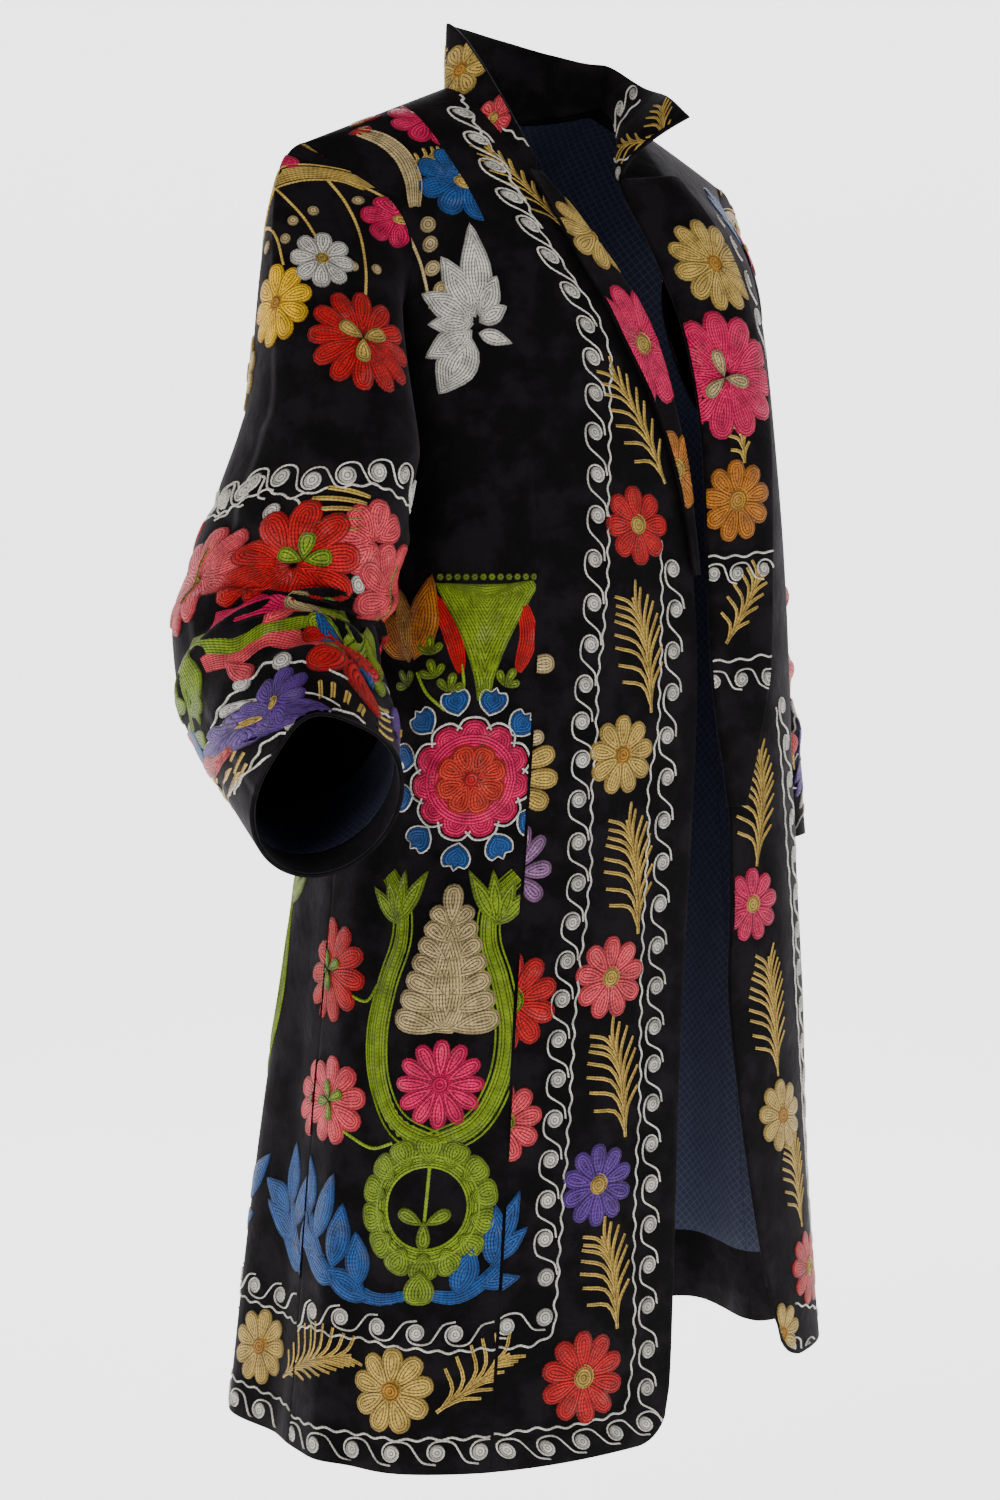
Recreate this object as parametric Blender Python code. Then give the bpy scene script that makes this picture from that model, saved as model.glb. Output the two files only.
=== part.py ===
"""An embroidered velvet coat, worn open: hollow cloth walls in the pose in which they are worn.

Metres, +Z up. The wearer faces -Y and the wearer's left is +X. The origin is at the
middle of the neck, just above the shoulder seams.
"""

from collections import namedtuple

import bmesh
import bpy
import numpy as np

# Driving sizes

NECK_X = 0.075  # the neck point, where shoulder seam and collar meet
NECK_DROP_BACK = 0.012
NECK_BELOW_ORIGIN = 0.016
NECK_FADES_BY = 0.12
SHOULDER_SLOPE = 0.40
SLOPE_FADES_BY = 0.26
ROUND_OVER = 0.20  # the depth grows from nothing to its full size over this much height
ROUND_POWER = 0.6
BOXY = 2.5  # 2 is an ellipse; more is squarer
WIDEST_SHARE = 0.9999  # of the half width, where a turn is worked out from x
UNDERARM = 0.245
ARM_DIP_FRONT = 40.0  # degrees that the armhole cuts in from the side
ARM_DIP_BACK = 27.0
ARMHOLE_SKEW = 0.75  # below 1 puts the deepest cut of the armhole above its middle
ARMHOLE_FULLNESS = 0.6  # below 1 fills the curve out
ARMHOLE_INSIDE = 2.0  # degrees in from the armhole, to find the cloth's own direction there
BACK_NECK_TURN = 21.2  # degrees either side of the middle, in line with the neck points

CLOTH = 0.0020
LINING = 0.0010
COLLAR_CLOTH = 0.0026
LAPEL_CLOTH = 0.0022
SEAM_GAP = 0.0003
LAYER_GAP = 0.0006
LAPEL_ROLL = 0.0018  # inner radius of the fold
STEP = 1e-4  # for slopes taken as differences
TURN_STEP = 0.05
ARM_STEP = 0.02
TIP_TURN = 84.0  # degrees; nearer the side than this the shoulder's top row pinches to a point
TIP_DOWN = 0.004

BORDER_COLUMNS = 5
SIDE_COLUMNS = 6
FACING_COLUMNS = 2
BACK_OUTER_COLUMNS = 5
BACK_NECK_COLUMNS = 6
COLLAR_ROWS = 4
COLLAR_ENDS_ROW = 4
LAPEL_ROLL_STEPS = 3
LAPEL_FLAT_STEPS = 3

# Heights below the neck point at which the body is worked out. The first ten are also
# the points of the armhole, so that the sleeves meet the panels edge to edge.
ARMHOLE_HEIGHTS = (0.0, 0.006, 0.020, 0.045, 0.080, 0.120, 0.160, 0.200, 0.230, UNDERARM)
LOWER_HEIGHTS = (0.30, 0.37, 0.45, 0.54, 0.64, 0.75, 0.87, 0.99)
HEIGHTS = ARMHOLE_HEIGHTS + LOWER_HEIGHTS

BodyRow = namedtuple("BodyRow", "down half_width front_depth back_depth side_y")
BODY = (
    BodyRow(0.00, 0.200, 0.093, 0.097, 0.000),
    BodyRow(0.06, 0.196, 0.093, 0.097, 0.000),
    BodyRow(0.14, 0.186, 0.104, 0.097, -0.004),
    BodyRow(0.24, 0.176, 0.118, 0.096, -0.012),
    BodyRow(0.36, 0.179, 0.127, 0.097, -0.018),
    BodyRow(0.48, 0.186, 0.133, 0.104, -0.020),
    BodyRow(0.60, 0.196, 0.140, 0.118, -0.020),
    BodyRow(0.75, 0.213, 0.150, 0.138, -0.020),
    BodyRow(0.99, 0.238, 0.164, 0.160, -0.020),
)

# Where each front ends at the opening, and where its border panel is sewn to its side panel
FrontRow = namedtuple("FrontRow", "down edge_x seam_x")
FRONT_RIGHT = (
    FrontRow(0.00, -0.075, -0.118),
    FrontRow(0.03, -0.066, -0.115),
    FrontRow(0.08, -0.050, -0.109),
    FrontRow(0.125, -0.026, -0.104),
    FrontRow(0.18, 0.007, -0.100),
    FrontRow(0.25, 0.026, -0.097),
    FrontRow(0.34, 0.037, -0.098),
    FrontRow(0.44, 0.039, -0.105),
    FrontRow(0.54, 0.029, -0.115),
    FrontRow(0.68, 0.011, -0.130),
    FrontRow(0.99, -0.017, -0.161),
)
FRONT_LEFT = (
    FrontRow(0.00, 0.075, 0.130),
    FrontRow(0.03, 0.058, 0.130),
    FrontRow(0.06, 0.038, 0.131),
    FrontRow(0.09, 0.031, 0.133),
    FrontRow(0.13, 0.039, 0.137),
    FrontRow(0.19, 0.053, 0.143),
    FrontRow(0.27, 0.059, 0.150),
    FrontRow(0.36, 0.055, 0.155),
    FrontRow(0.45, 0.056, 0.161),
    FrontRow(0.55, 0.070, 0.171),
    FrontRow(0.62, 0.068, 0.177),
    FrontRow(0.69, 0.062, 0.184),
    FrontRow(0.77, 0.070, 0.194),
    FrontRow(0.99, 0.109, 0.220),
)
LEFT_HEM_LIFT = 0.027  # the open left front hangs this much shorter at its edge

# Soft folds of the body cloth: a ridge, or a trough where the height is below nothing
BodyFold = namedtuple("BodyFold", "turn width starts full height drift")
BODY_FOLDS = (
    BodyFold(-52.0, 7.0, 0.20, 0.34, 0.0030, -6.0),
    BodyFold(-66.0, 6.0, 0.22, 0.40, -0.0035, -4.0),
    BodyFold(-80.0, 7.0, 0.45, 0.99, 0.0060, 4.0),
    BodyFold(-104.0, 9.0, 0.40, 0.99, -0.0080, 3.0),
    BodyFold(-122.0, 9.0, 0.35, 0.99, 0.0120, 2.0),
    BodyFold(-143.0, 10.0, 0.40, 0.99, -0.0100, 1.0),
    BodyFold(-164.0, 10.0, 0.30, 0.99, 0.0110, 0.0),
    BodyFold(176.0, 9.0, 0.40, 0.99, -0.0090, 0.0),
    BodyFold(158.0, 10.0, 0.30, 0.99, 0.0120, 0.0),
    BodyFold(137.0, 10.0, 0.40, 0.99, -0.0110, -1.0),
    BodyFold(117.0, 9.0, 0.35, 0.99, 0.0120, -2.0),
    BodyFold(96.0, 8.0, 0.40, 0.99, -0.0070, -3.0),
    BodyFold(68.0, 7.0, 0.20, 0.40, -0.0030, 4.0),
    BodyFold(46.0, 7.0, 0.55, 0.99, -0.0050, 6.0),
)

# How far the open left front stands off the body. It grows from its edge and dies away to the side.
SwingRow = namedtuple("SwingRow", "down swing")
LEFT_SWING = (
    SwingRow(0.00, 0.000),
    SwingRow(0.05, 0.004),
    SwingRow(0.12, 0.013),
    SwingRow(0.20, 0.017),
    SwingRow(0.40, 0.018),
    SwingRow(0.55, 0.014),
    SwingRow(0.70, 0.010),
    SwingRow(0.82, 0.004),
    SwingRow(0.99, 0.004),
)
SWING_GROWS = 22.0  # degrees from the edge
SWING_ENDS = 82.0
SWING_FADES = 34.0

CollarRow = namedtuple("CollarRow", "along rise lean")
COLLAR = (
    CollarRow(0.00, 0.014, 0.000),
    CollarRow(0.12, 0.028, 0.000),
    CollarRow(0.28, 0.048, -0.001),
    CollarRow(0.40, 0.058, 0.000),
    CollarRow(0.50, 0.058, 0.004),
    CollarRow(0.60, 0.048, 0.004),
    CollarRow(0.72, 0.032, 0.006),
    CollarRow(0.84, 0.034, 0.018),
    CollarRow(0.93, 0.042, 0.040),
    CollarRow(1.00, 0.045, 0.054),
)

LapelRow = namedtuple("LapelRow", "down width lift")
LAPEL_RIGHT = (
    LapelRow(0.080, 0.010, 0.001),
    LapelRow(0.120, 0.022, 0.002),
    LapelRow(0.160, 0.031, 0.002),
    LapelRow(0.200, 0.032, 0.002),
    LapelRow(0.245, 0.020, 0.001),
    LapelRow(0.300, 0.010, 0.000),
    LapelRow(0.370, 0.004, 0.000),
)
LAPEL_LEFT = (
    LapelRow(0.080, 0.046, 0.003),
    LapelRow(0.120, 0.057, 0.004),
    LapelRow(0.200, 0.058, 0.004),
    LapelRow(0.300, 0.053, 0.003),
    LapelRow(0.370, 0.049, 0.003),
    LapelRow(0.450, 0.041, 0.003),
    LapelRow(0.540, 0.010, 0.001),
)

# Sleeve sections down the arm: the middle, the half width across and fore and aft, and a turn
ArmRow = namedtuple("ArmRow", "along x y z across fore turn")
ARM_RIGHT = (
    ArmRow(0, -0.228, -0.067, -0.275, 0.052, 0.075, 0.0),
    ArmRow(1, -0.244, -0.060, -0.335, 0.060, 0.075, 0.0),
    ArmRow(2, -0.262, -0.052, -0.402, 0.066, 0.075, 0.0),
    ArmRow(3, -0.280, -0.088, -0.450, 0.064, 0.073, 0.0),
    ArmRow(4, -0.301, -0.140, -0.480, 0.057, 0.065, 0.0),
    ArmRow(5, -0.321, -0.190, -0.507, 0.049, 0.058, 0.0),
)
ARM_LEFT = (
    ArmRow(0, 0.220, 0.050, -0.275, 0.047, 0.063, 20.0),
    ArmRow(1, 0.230, 0.058, -0.340, 0.055, 0.066, 18.0),
    ArmRow(2, 0.244, 0.058, -0.405, 0.059, 0.067, 15.0),
    ArmRow(3, 0.257, 0.053, -0.475, 0.056, 0.063, 10.0),
    ArmRow(4, 0.266, 0.044, -0.540, 0.052, 0.059, 5.0),
    ArmRow(5, 0.272, 0.035, -0.600, 0.048, 0.055, 0.0),
)

# Bunched folds of a sleeve: along counts arm sections, 0 at the top of the arm
SleeveFold = namedtuple("SleeveFold", "along around height length spread slant")
FOLDS_RIGHT = (
    SleeveFold(0.30, 40.0, 0.0035, 0.22, 70.0, 0.30),
    SleeveFold(0.95, 120.0, 0.0050, 0.16, 80.0, -0.25),
    SleeveFold(1.35, 30.0, -0.0050, 0.14, 90.0, 0.30),
    SleeveFold(1.70, 80.0, 0.0075, 0.15, 95.0, -0.35),
    SleeveFold(2.05, 60.0, -0.0065, 0.13, 90.0, 0.25),
    SleeveFold(2.40, 90.0, 0.0080, 0.14, 100.0, -0.30),
    SleeveFold(2.75, 110.0, -0.0065, 0.13, 90.0, 0.30),
    SleeveFold(3.10, 70.0, 0.0075, 0.15, 100.0, 0.35),
    SleeveFold(3.50, 95.0, -0.0055, 0.14, 80.0, -0.20),
    SleeveFold(3.85, 100.0, 0.0045, 0.18, 80.0, 0.20),
    SleeveFold(2.30, 260.0, 0.0080, 0.60, 60.0, 0.00),
)
FOLDS_LEFT = (
    SleeveFold(0.90, 100.0, 0.0040, 0.18, 80.0, -0.25),
    SleeveFold(1.40, 60.0, -0.0045, 0.16, 90.0, 0.25),
    SleeveFold(1.85, 90.0, 0.0060, 0.17, 95.0, -0.30),
    SleeveFold(2.30, 70.0, -0.0055, 0.16, 90.0, 0.25),
    SleeveFold(2.75, 90.0, 0.0060, 0.17, 100.0, -0.25),
    SleeveFold(3.20, 100.0, -0.0045, 0.18, 80.0, 0.30),
    SleeveFold(3.70, 80.0, 0.0040, 0.20, 80.0, 0.20),
)

CAP_RINGS = (0.0, 0.10, 0.24, 0.40, 0.58, 0.78)
ARM_RINGS_RIGHT = (
    0.0, 0.30, 0.60, 0.85, 1.05, 1.22, 1.38, 1.54, 1.70, 1.86, 2.02, 2.18, 2.34, 2.50,
    2.66, 2.82, 2.98, 3.14, 3.32, 3.52, 3.75, 4.05, 4.25, 4.56, 4.80, 5.0,
)
ARM_RINGS_LEFT = (
    0.0, 0.40, 0.70, 0.95, 1.18, 1.40, 1.62, 1.85, 2.08, 2.30, 2.52, 2.75, 2.98, 3.20,
    3.45, 3.70, 3.95, 4.20, 4.52, 5.0,
)
CUFF_FACING_RINGS_RIGHT = 2
CUFF_FACING_RINGS_LEFT = 1
SLEEVE_LINING_RINGS = 3
CAP_REACH = 0.154  # how far the sleeve head stands out before it falls
ARM_REACH = 0.13
UNDERARM_REACH = 0.045
CAP_DIP_TOP = 12.0  # degrees below level at which the sleeve leaves the armhole
CAP_DIP_UNDERARM = 50.0
CUFF_DIP = 0.24  # the notch in the right cuff's rim, in arm sections
CUFF_DIP_AROUND = 62.0
CUFF_DIP_SPREAD = 26.0

COLLECTION = "embroidered_coat"

Finish = namedtuple("Finish", "colour roughness")
VELVET = Finish((0.012, 0.011, 0.014), 0.92)
PLAIN_VELVET = Finish((0.014, 0.013, 0.016), 0.88)
CHECKED_LINING = Finish((0.035, 0.040, 0.085), 0.70)


def curve(rows, across, name):
    """A smooth function through one column of a table."""
    xs = np.array([getattr(row, across) for row in rows])
    ys = np.array([getattr(row, name) for row in rows])
    slopes = np.gradient(ys, xs)

    def at(x):
        beyond = x - np.clip(x, xs[0], xs[-1])
        x = x - beyond
        i = np.clip(np.searchsorted(xs, x) - 1, 0, len(xs) - 2)
        width = xs[i + 1] - xs[i]
        t = (x - xs[i]) / width
        value = ys[i] + (ys[i + 1] - ys[i]) * t * t * (3 - 2 * t)
        bend = slopes[i] * t * (1 - t) ** 2 - slopes[i + 1] * t * t * (1 - t)
        return value + width * bend + beyond * np.where(beyond < 0, slopes[0], slopes[-1])

    return at


half_width = curve(BODY, "down", "half_width")
front_depth = curve(BODY, "down", "front_depth")
back_depth = curve(BODY, "down", "back_depth")
side_y = curve(BODY, "down", "side_y")
swing_at = curve(LEFT_SWING, "down", "swing")
left_edge_x = curve(FRONT_LEFT, "down", "edge_x")


def unit(vectors):
    return vectors / np.linalg.norm(vectors, axis=-1, keepdims=True)


def ease(x):
    """Nothing below 0, one above 1, and smooth between."""
    x = np.clip(x, 0.0, 1.0)
    return x * x * (3 - 2 * x)


def stack(x, y, z):
    return np.stack(np.broadcast_arrays(x, y, z), axis=-1).astype(float)


# The body's surface

def turn_of(x, down):
    """The angle round the front at which the body is x from its middle."""
    share = np.clip(np.abs(x) / half_width(down), 0.0, WIDEST_SHARE)
    rest = (1 - share**BOXY) ** (1 / BOXY)
    return np.sign(x) * np.degrees(np.arctan2(share, rest))


def body_smooth(front, down, turn):
    """A point on the body before its folds. Turn is 0 in front, 90 at the wearer's left."""
    angle = np.radians(turn)
    s = np.sin(angle)
    c = np.cos(angle)
    boxy = (np.abs(s) ** BOXY + np.abs(c) ** BOXY) ** (-1 / BOXY)
    half = 1.0 if front else -1.0
    share = 1 - np.clip(down / ROUND_OVER, 0.0, 1.0)
    rounding = (1 - share * share) ** ROUND_POWER
    depth = (front_depth(down) if front else back_depth(down)) * rounding
    x = half_width(down) * s * boxy
    y = side_y(down) - half * SEAM_GAP / 2 - depth * c * boxy
    fall = SHOULDER_SLOPE * np.maximum(0.0, np.abs(x) - NECK_X) * (1 - ease(down / SLOPE_FADES_BY))
    z = -down - fall - NECK_BELOW_ORIGIN * (1 - ease(down / NECK_FADES_BY))
    return stack(x, y, z)


def body_relief(front, down, turn):
    """How far the cloth stands out from the smooth body, for its folds and the open left front."""
    total = np.zeros(np.broadcast(down, turn).shape)
    for fold in BODY_FOLDS:
        grown = ease((down - fold.starts) / (fold.full - fold.starts))
        middle = fold.turn + fold.drift * grown
        away = (turn - middle + 180.0) % 360.0 - 180.0
        total = total + fold.height * grown * np.exp(-((away / fold.width) ** 2))
    if front:
        edge = turn_of(left_edge_x(down), down)
        grown = ease((turn - edge + SWING_GROWS / 4) / SWING_GROWS)
        total = total + swing_at(down) * grown * ease((SWING_ENDS - turn) / SWING_FADES)
    return total


def slopes_of(surface, down, turn):
    """The surface's changes with height and with turn."""
    low = np.maximum(down - STEP, 0.0)
    by_down = surface(down + STEP, turn) - surface(low, turn)
    by_turn = surface(down, turn + TURN_STEP) - surface(down, turn - TURN_STEP)
    return by_down, by_turn


def normal_of(surface, down, turn):
    """The way out of the cloth. The shoulder's tip is a point, so its slopes are taken just inside it."""
    bow = np.clip((turn + 90.0) % 180.0 - 90.0, -TIP_TURN, TIP_TURN)
    inside = np.floor((turn + 90.0) / 180.0) * 180.0 + bow
    by_down, by_turn = slopes_of(surface, down, np.where(down < TIP_DOWN, inside, turn))
    return unit(np.cross(by_down, by_turn))


def body_point(front, down, turn):
    def smooth(d, t):
        return body_smooth(front, d, t)

    relief = body_relief(front, down, turn)[..., None]
    return smooth(down, turn) + relief * normal_of(smooth, down, turn)


def body_normal(front, down, turn):
    """The way out of the cloth, which leans neither way along the shoulder seam."""

    def surface(d, t):
        return body_point(front, d, t)

    normal = normal_of(surface, down, turn)
    level = np.where(down > 0.0, 1.0, 0.0)
    return unit(normal * stack(1.0, level, 1.0))


# Outlines of the panels, as turns round the body

def arm_shape(down):
    """How far the armhole cuts in, from 0 at its top and bottom to 1."""
    q = np.clip(down / UNDERARM, 0.0, 1.0)
    return np.sin(np.pi * q**ARMHOLE_SKEW).clip(0.0, 1.0) ** ARMHOLE_FULLNESS


def front_outer(down):
    return 90.0 - ARM_DIP_FRONT * arm_shape(down)


def back_outer(down):
    return 90.0 + ARM_DIP_BACK * arm_shape(down)


def front_grid(rows, side):
    """Points and normals of a whole front. Column 0 is its edge; side is 1 on the wearer's left."""
    down = np.array(HEIGHTS)[:, None]
    hem = HEIGHTS[-1]
    edge = turn_of(curve(rows, "down", "edge_x")(down), down)
    seam = turn_of(curve(rows, "down", "seam_x")(down), down)
    outer = side * front_outer(down)
    border = np.linspace(0.0, 1.0, BORDER_COLUMNS + 1)[None, :]
    side_part = np.linspace(0.0, 1.0, SIDE_COLUMNS + 1)[None, 1:]
    turn = np.concatenate(
        [edge + (seam - edge) * border, seam + (outer - seam) * side_part], axis=1
    )
    near_edge = ease(np.concatenate([1 + 0 * border, 1 - side_part], axis=1))
    lift = LEFT_HEM_LIFT * near_edge * (down / hem) ** 3 if side > 0 else 0.0
    down = np.broadcast_to(down - lift, turn.shape)
    return body_point(True, down, turn), body_normal(True, down, turn)


def back_grid():
    """Points and normals of the back, from the wearer's left side to the right."""
    down = np.array(HEIGHTS)[:, None]
    outer = back_outer(down)
    to_neck = np.linspace(0.0, 1.0, BACK_OUTER_COLUMNS + 1)[None, :]
    left = outer + (180.0 - BACK_NECK_TURN - outer) * to_neck
    neck = np.linspace(180.0 - BACK_NECK_TURN, 180.0 + BACK_NECK_TURN, BACK_NECK_COLUMNS + 1)
    middle = np.broadcast_to(neck[None, 1:-1], (len(HEIGHTS), BACK_NECK_COLUMNS - 1))
    turn = np.concatenate([left, middle, 360.0 - left[:, ::-1]], axis=1)
    x_share = np.clip(np.abs(turn - 180.0) / BACK_NECK_TURN, 0.0, 1.0)
    top = NECK_DROP_BACK * (1 - x_share**2)
    down = down + top * (1 - down / HEIGHTS[-1])
    return body_point(False, down, turn), body_normal(False, down, turn)


# Walls

def pulled_in(points, ends):
    """The grid with the named edges moved inwards by half a seam's gap, along its own facets."""
    points = points.copy()
    columns = points.transpose(1, 0, 2)
    edges = {
        "top": (points, 0, 1),
        "bottom": (points, -1, -2),
        "first": (columns, 0, 1),
        "last": (columns, -1, -2),
    }
    for end in ends:
        lines, edge, inner = edges[end]
        lines[edge] += unit(lines[inner] - lines[edge]) * SEAM_GAP / 2
    return points


def sheet(name, points, normals, thickness, finish, depth=0.0, ends=(), closed=False):
    """A wall whose outer face is this grid, moved in by depth."""
    outer = pulled_in(points - normals * depth, ends)
    inner = pulled_in(points - normals * (depth + thickness), ends)
    wall(name, outer, inner, finish, closed)


def wall(name, outer, inner, finish, closed=False):
    """One closed body between two grids of points. A closed one joins its last column to its first."""
    rows, columns = outer.shape[:2]
    if closed:
        outer = np.concatenate([outer, outer[:, :1]], axis=1)
        inner = np.concatenate([inner, inner[:, :1]], axis=1)
    steps = outer.shape[1] - 1
    bm = bmesh.new()
    bmesh.ops.create_grid(bm, x_segments=steps, y_segments=rows - 1, size=1.0)
    place = bm.verts.layers.int.new("place")
    for vert in bm.verts:
        column = round((vert.co.x + 1) / 2 * steps)
        row = round((vert.co.y + 1) / 2 * (rows - 1))
        vert[place] = row * (steps + 1) + column
        vert.co = outer[row, column]
    if closed:
        bmesh.ops.remove_doubles(bm, verts=bm.verts[:], dist=STEP / 100)
    bmesh.ops.triangulate(bm, faces=bm.faces[:], quad_method="FIXED")
    made = bmesh.ops.extrude_face_region(bm, geom=bm.faces[:], use_keep_orig=True)
    for vert in (item for item in made["geom"] if isinstance(item, bmesh.types.BMVert)):
        row, column = divmod(vert[place], steps + 1)
        vert.co = inner[row, column]
    bmesh.ops.recalc_face_normals(bm, faces=bm.faces[:])
    if bm.calc_volume(signed=True) < 0:
        bmesh.ops.reverse_faces(bm, faces=bm.faces[:])
    bm.verts.layers.int.remove(place)
    mesh = bpy.data.meshes.new(name)
    bm.to_mesh(mesh)
    bm.free()
    mesh.shade_smooth()
    mesh.materials.append(material(finish, name))
    piece = bpy.data.objects.new(name, mesh)
    bpy.data.collections[COLLECTION].objects.link(piece)


def material(finish, name):
    made = bpy.data.materials.new(name)
    made.use_nodes = True
    shader = made.node_tree.nodes["Principled BSDF"]
    shader.inputs["Base Color"].default_value = (*finish.colour, 1.0)
    shader.inputs["Roughness"].default_value = finish.roughness
    shader.inputs["Metallic"].default_value = 0.0
    return made


# The panels

def make_front(name, rows, side):
    """Border and side panels of one front, with the facing and the lining inside them.

    It gives back the points of the whole front, for the collar.
    """
    points, normals = front_grid(rows, side)
    seam = BORDER_COLUMNS
    inside = CLOTH + LAYER_GAP
    parts = (
        (f"front_{name}_border", 0, seam + 1, 0.0, CLOTH, VELVET, ("last",)),
        (f"front_{name}_side", seam, None, 0.0, CLOTH, VELVET, ("first",)),
        (f"facing_{name}", 0, FACING_COLUMNS + 1, inside, LINING, PLAIN_VELVET, ("last",)),
        (f"lining_{name}", FACING_COLUMNS, None, inside, LINING, CHECKED_LINING, ("first",)),
    )
    for node, start, stop, depth, thickness, finish, ends in parts:
        chosen = points[:, start:stop], normals[:, start:stop]
        sheet(node, *chosen, thickness, finish, depth, ends)
    return points


def make_back():
    """The back and its lining. It gives back the back's points, for the collar."""
    points, normals = back_grid()
    sheet("back", points, normals, CLOTH, VELVET)
    sheet("lining_back", points, normals, LINING, CHECKED_LINING, depth=CLOTH + LAYER_GAP)
    return points


def make_collar(right, back, left):
    """A standing collar on the neckline's own points, from the right front round the back."""
    rows = COLLAR_ENDS_ROW
    first = BACK_OUTER_COLUMNS
    last = BACK_OUTER_COLUMNS + BACK_NECK_COLUMNS
    neck_right = right[rows::-1, 0]
    neck_back = back[0, first : last + 1][::-1]
    neck_left = left[: rows + 1, 0]
    base = np.concatenate([neck_right, neck_back[1:-1], neck_left])
    base = base + np.array([0.0, 0.0, SEAM_GAP])
    lengths = np.linalg.norm(np.diff(base, axis=0), axis=1)
    along = np.concatenate([[0.0], np.cumsum(lengths)]) / lengths.sum()
    rise = curve(COLLAR, "along", "rise")(along)
    lean = curve(COLLAR, "along", "lean")(along)
    out = unit(base * np.array([1.0, 1.0, 0.0]))
    up = np.array([0.0, 0.0, 1.0])
    share = np.linspace(0.0, 1.0, COLLAR_ROWS + 1)[:, None, None]
    points = base + up * rise[:, None] * share + out * lean[:, None] * share**2
    by_row = np.gradient(points, axis=0)
    by_column = np.gradient(points, axis=1)
    normals = unit(np.cross(by_row, by_column))
    outward = np.sum(normals * out, axis=-1, keepdims=True)
    normals = normals * np.sign(outward.mean())
    sheet("collar", points, normals, COLLAR_CLOTH, VELVET)


def make_lapel(name, rows, table, side):
    """The front folded back on itself: a roll round the edge, then a band that lies on the front."""
    heights = np.array([h for h in HEIGHTS if table[0].down <= h <= table[-1].down])[:, None]
    edge_x = curve(rows, "down", "edge_x")(heights)
    edge = turn_of(edge_x, heights)
    point = body_point(True, heights, edge)
    normal = body_normal(True, heights, edge)
    ahead = body_point(True, heights, edge + side * 1.0)
    towards = ahead - point
    per_degree = np.linalg.norm(towards, axis=-1)
    towards = unit(towards)
    width = curve(table, "down", "width")(heights)
    lift = curve(table, "down", "lift")(heights)
    outer = []
    inner = []
    start = point - towards * SEAM_GAP
    for angle in np.linspace(0.0, np.pi, LAPEL_ROLL_STEPS + 1):
        for grid, radius in ((outer, LAPEL_ROLL + LAPEL_CLOTH), (inner, LAPEL_ROLL)):
            across = -towards * np.sin(angle) * radius
            grid.append(start + across + normal * (LAPEL_ROLL - radius * np.cos(angle)))
    for share in np.linspace(0.0, 1.0, LAPEL_FLAT_STEPS + 1)[1:]:
        turn = edge + side * width * share / per_degree
        base = body_point(True, heights, turn)
        facing = body_normal(True, heights, turn)
        away = (2 * LAPEL_ROLL + lift * share**2)[..., None]
        inner.append(base + facing * away)
        outer.append(base + facing * (away + LAPEL_CLOTH))
    wall(f"lapel_{name}", np.concatenate(outer, axis=1), np.concatenate(inner, axis=1), VELVET)


# The sleeves

def armhole(side):
    """The armhole's points, from its top down the front and up the back, with normals and a way out."""
    heights = np.array(ARMHOLE_HEIGHTS)
    loops = []
    for front, outer in ((True, front_outer), (False, back_outer)):
        turn = side * outer(heights)
        points = body_point(front, heights, turn)
        normals = body_normal(front, heights, turn)
        inwards = -ARMHOLE_INSIDE if front else ARMHOLE_INSIDE
        inside = body_point(front, heights, turn + side * inwards)
        loops.append((points, normals, unit(points - inside)))
    joined = []
    for fore, aft in zip(*loops):
        top = (fore[:1] + aft[:1]) / 2
        bottom = (fore[-1:] + aft[-1:]) / 2
        joined.append(np.concatenate([top, fore[1:-1], bottom, aft[-2:0:-1]]))
    points, normals, outwards = joined
    normals = unit(normals)
    outwards = unit(outwards)
    return points + outwards * SEAM_GAP, normals


def arm_frame(rows, side, along):
    """The middle of a sleeve section, the way down the arm, and the section's two half axes."""

    def middle(s):
        return stack(*(curve(rows, "along", axis)(s) for axis in "xyz"))

    way = unit(middle(along + ARM_STEP) - middle(along - ARM_STEP))
    lateral = np.array([side, 0.0, 0.0])
    across = unit(lateral - np.sum(way * lateral, axis=-1, keepdims=True) * way)
    fore = side * np.cross(way, across)
    turn = np.radians(curve(rows, "along", "turn")(along))[..., None] * side
    axis_a = across * np.cos(turn) - side * fore * np.sin(turn)
    axis_b = side * across * np.sin(turn) + fore * np.cos(turn)
    size_a = curve(rows, "along", "across")(along)[..., None]
    size_b = curve(rows, "along", "fore")(along)[..., None]
    return middle(along), way, axis_a * size_a, axis_b * size_b


def sleeve_point(rows, folds, side, along, around):
    """A point on the arm part of a sleeve. Around is 0 outside, 90 in front, 180 at the body."""
    end = len(rows) - 1.0
    if side < 0:
        away = (around - CUFF_DIP_AROUND + 180.0) % 360.0 - 180.0
        notch = CUFF_DIP * np.exp(-((away / CUFF_DIP_SPREAD) ** 2))
        along = along - notch * ease(along - (end - 1.0))
    centre, way, axis_a, axis_b = arm_frame(rows, side, along)
    angle = np.radians(around)[..., None]
    radial = axis_a * np.cos(angle) + axis_b * np.sin(angle)
    height = np.zeros(np.broadcast(along, around).shape)
    for fold in folds:
        away = (around - fold.around + 180.0) % 360.0 - 180.0
        centre_line = fold.along + fold.slant * np.sin(np.radians(away))
        bump = np.exp(-(((along - centre_line) / fold.length) ** 2))
        height = height + fold.height * bump * np.exp(-((away / fold.spread) ** 2))
    return centre + radial + unit(radial) * height[..., None]


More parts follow.
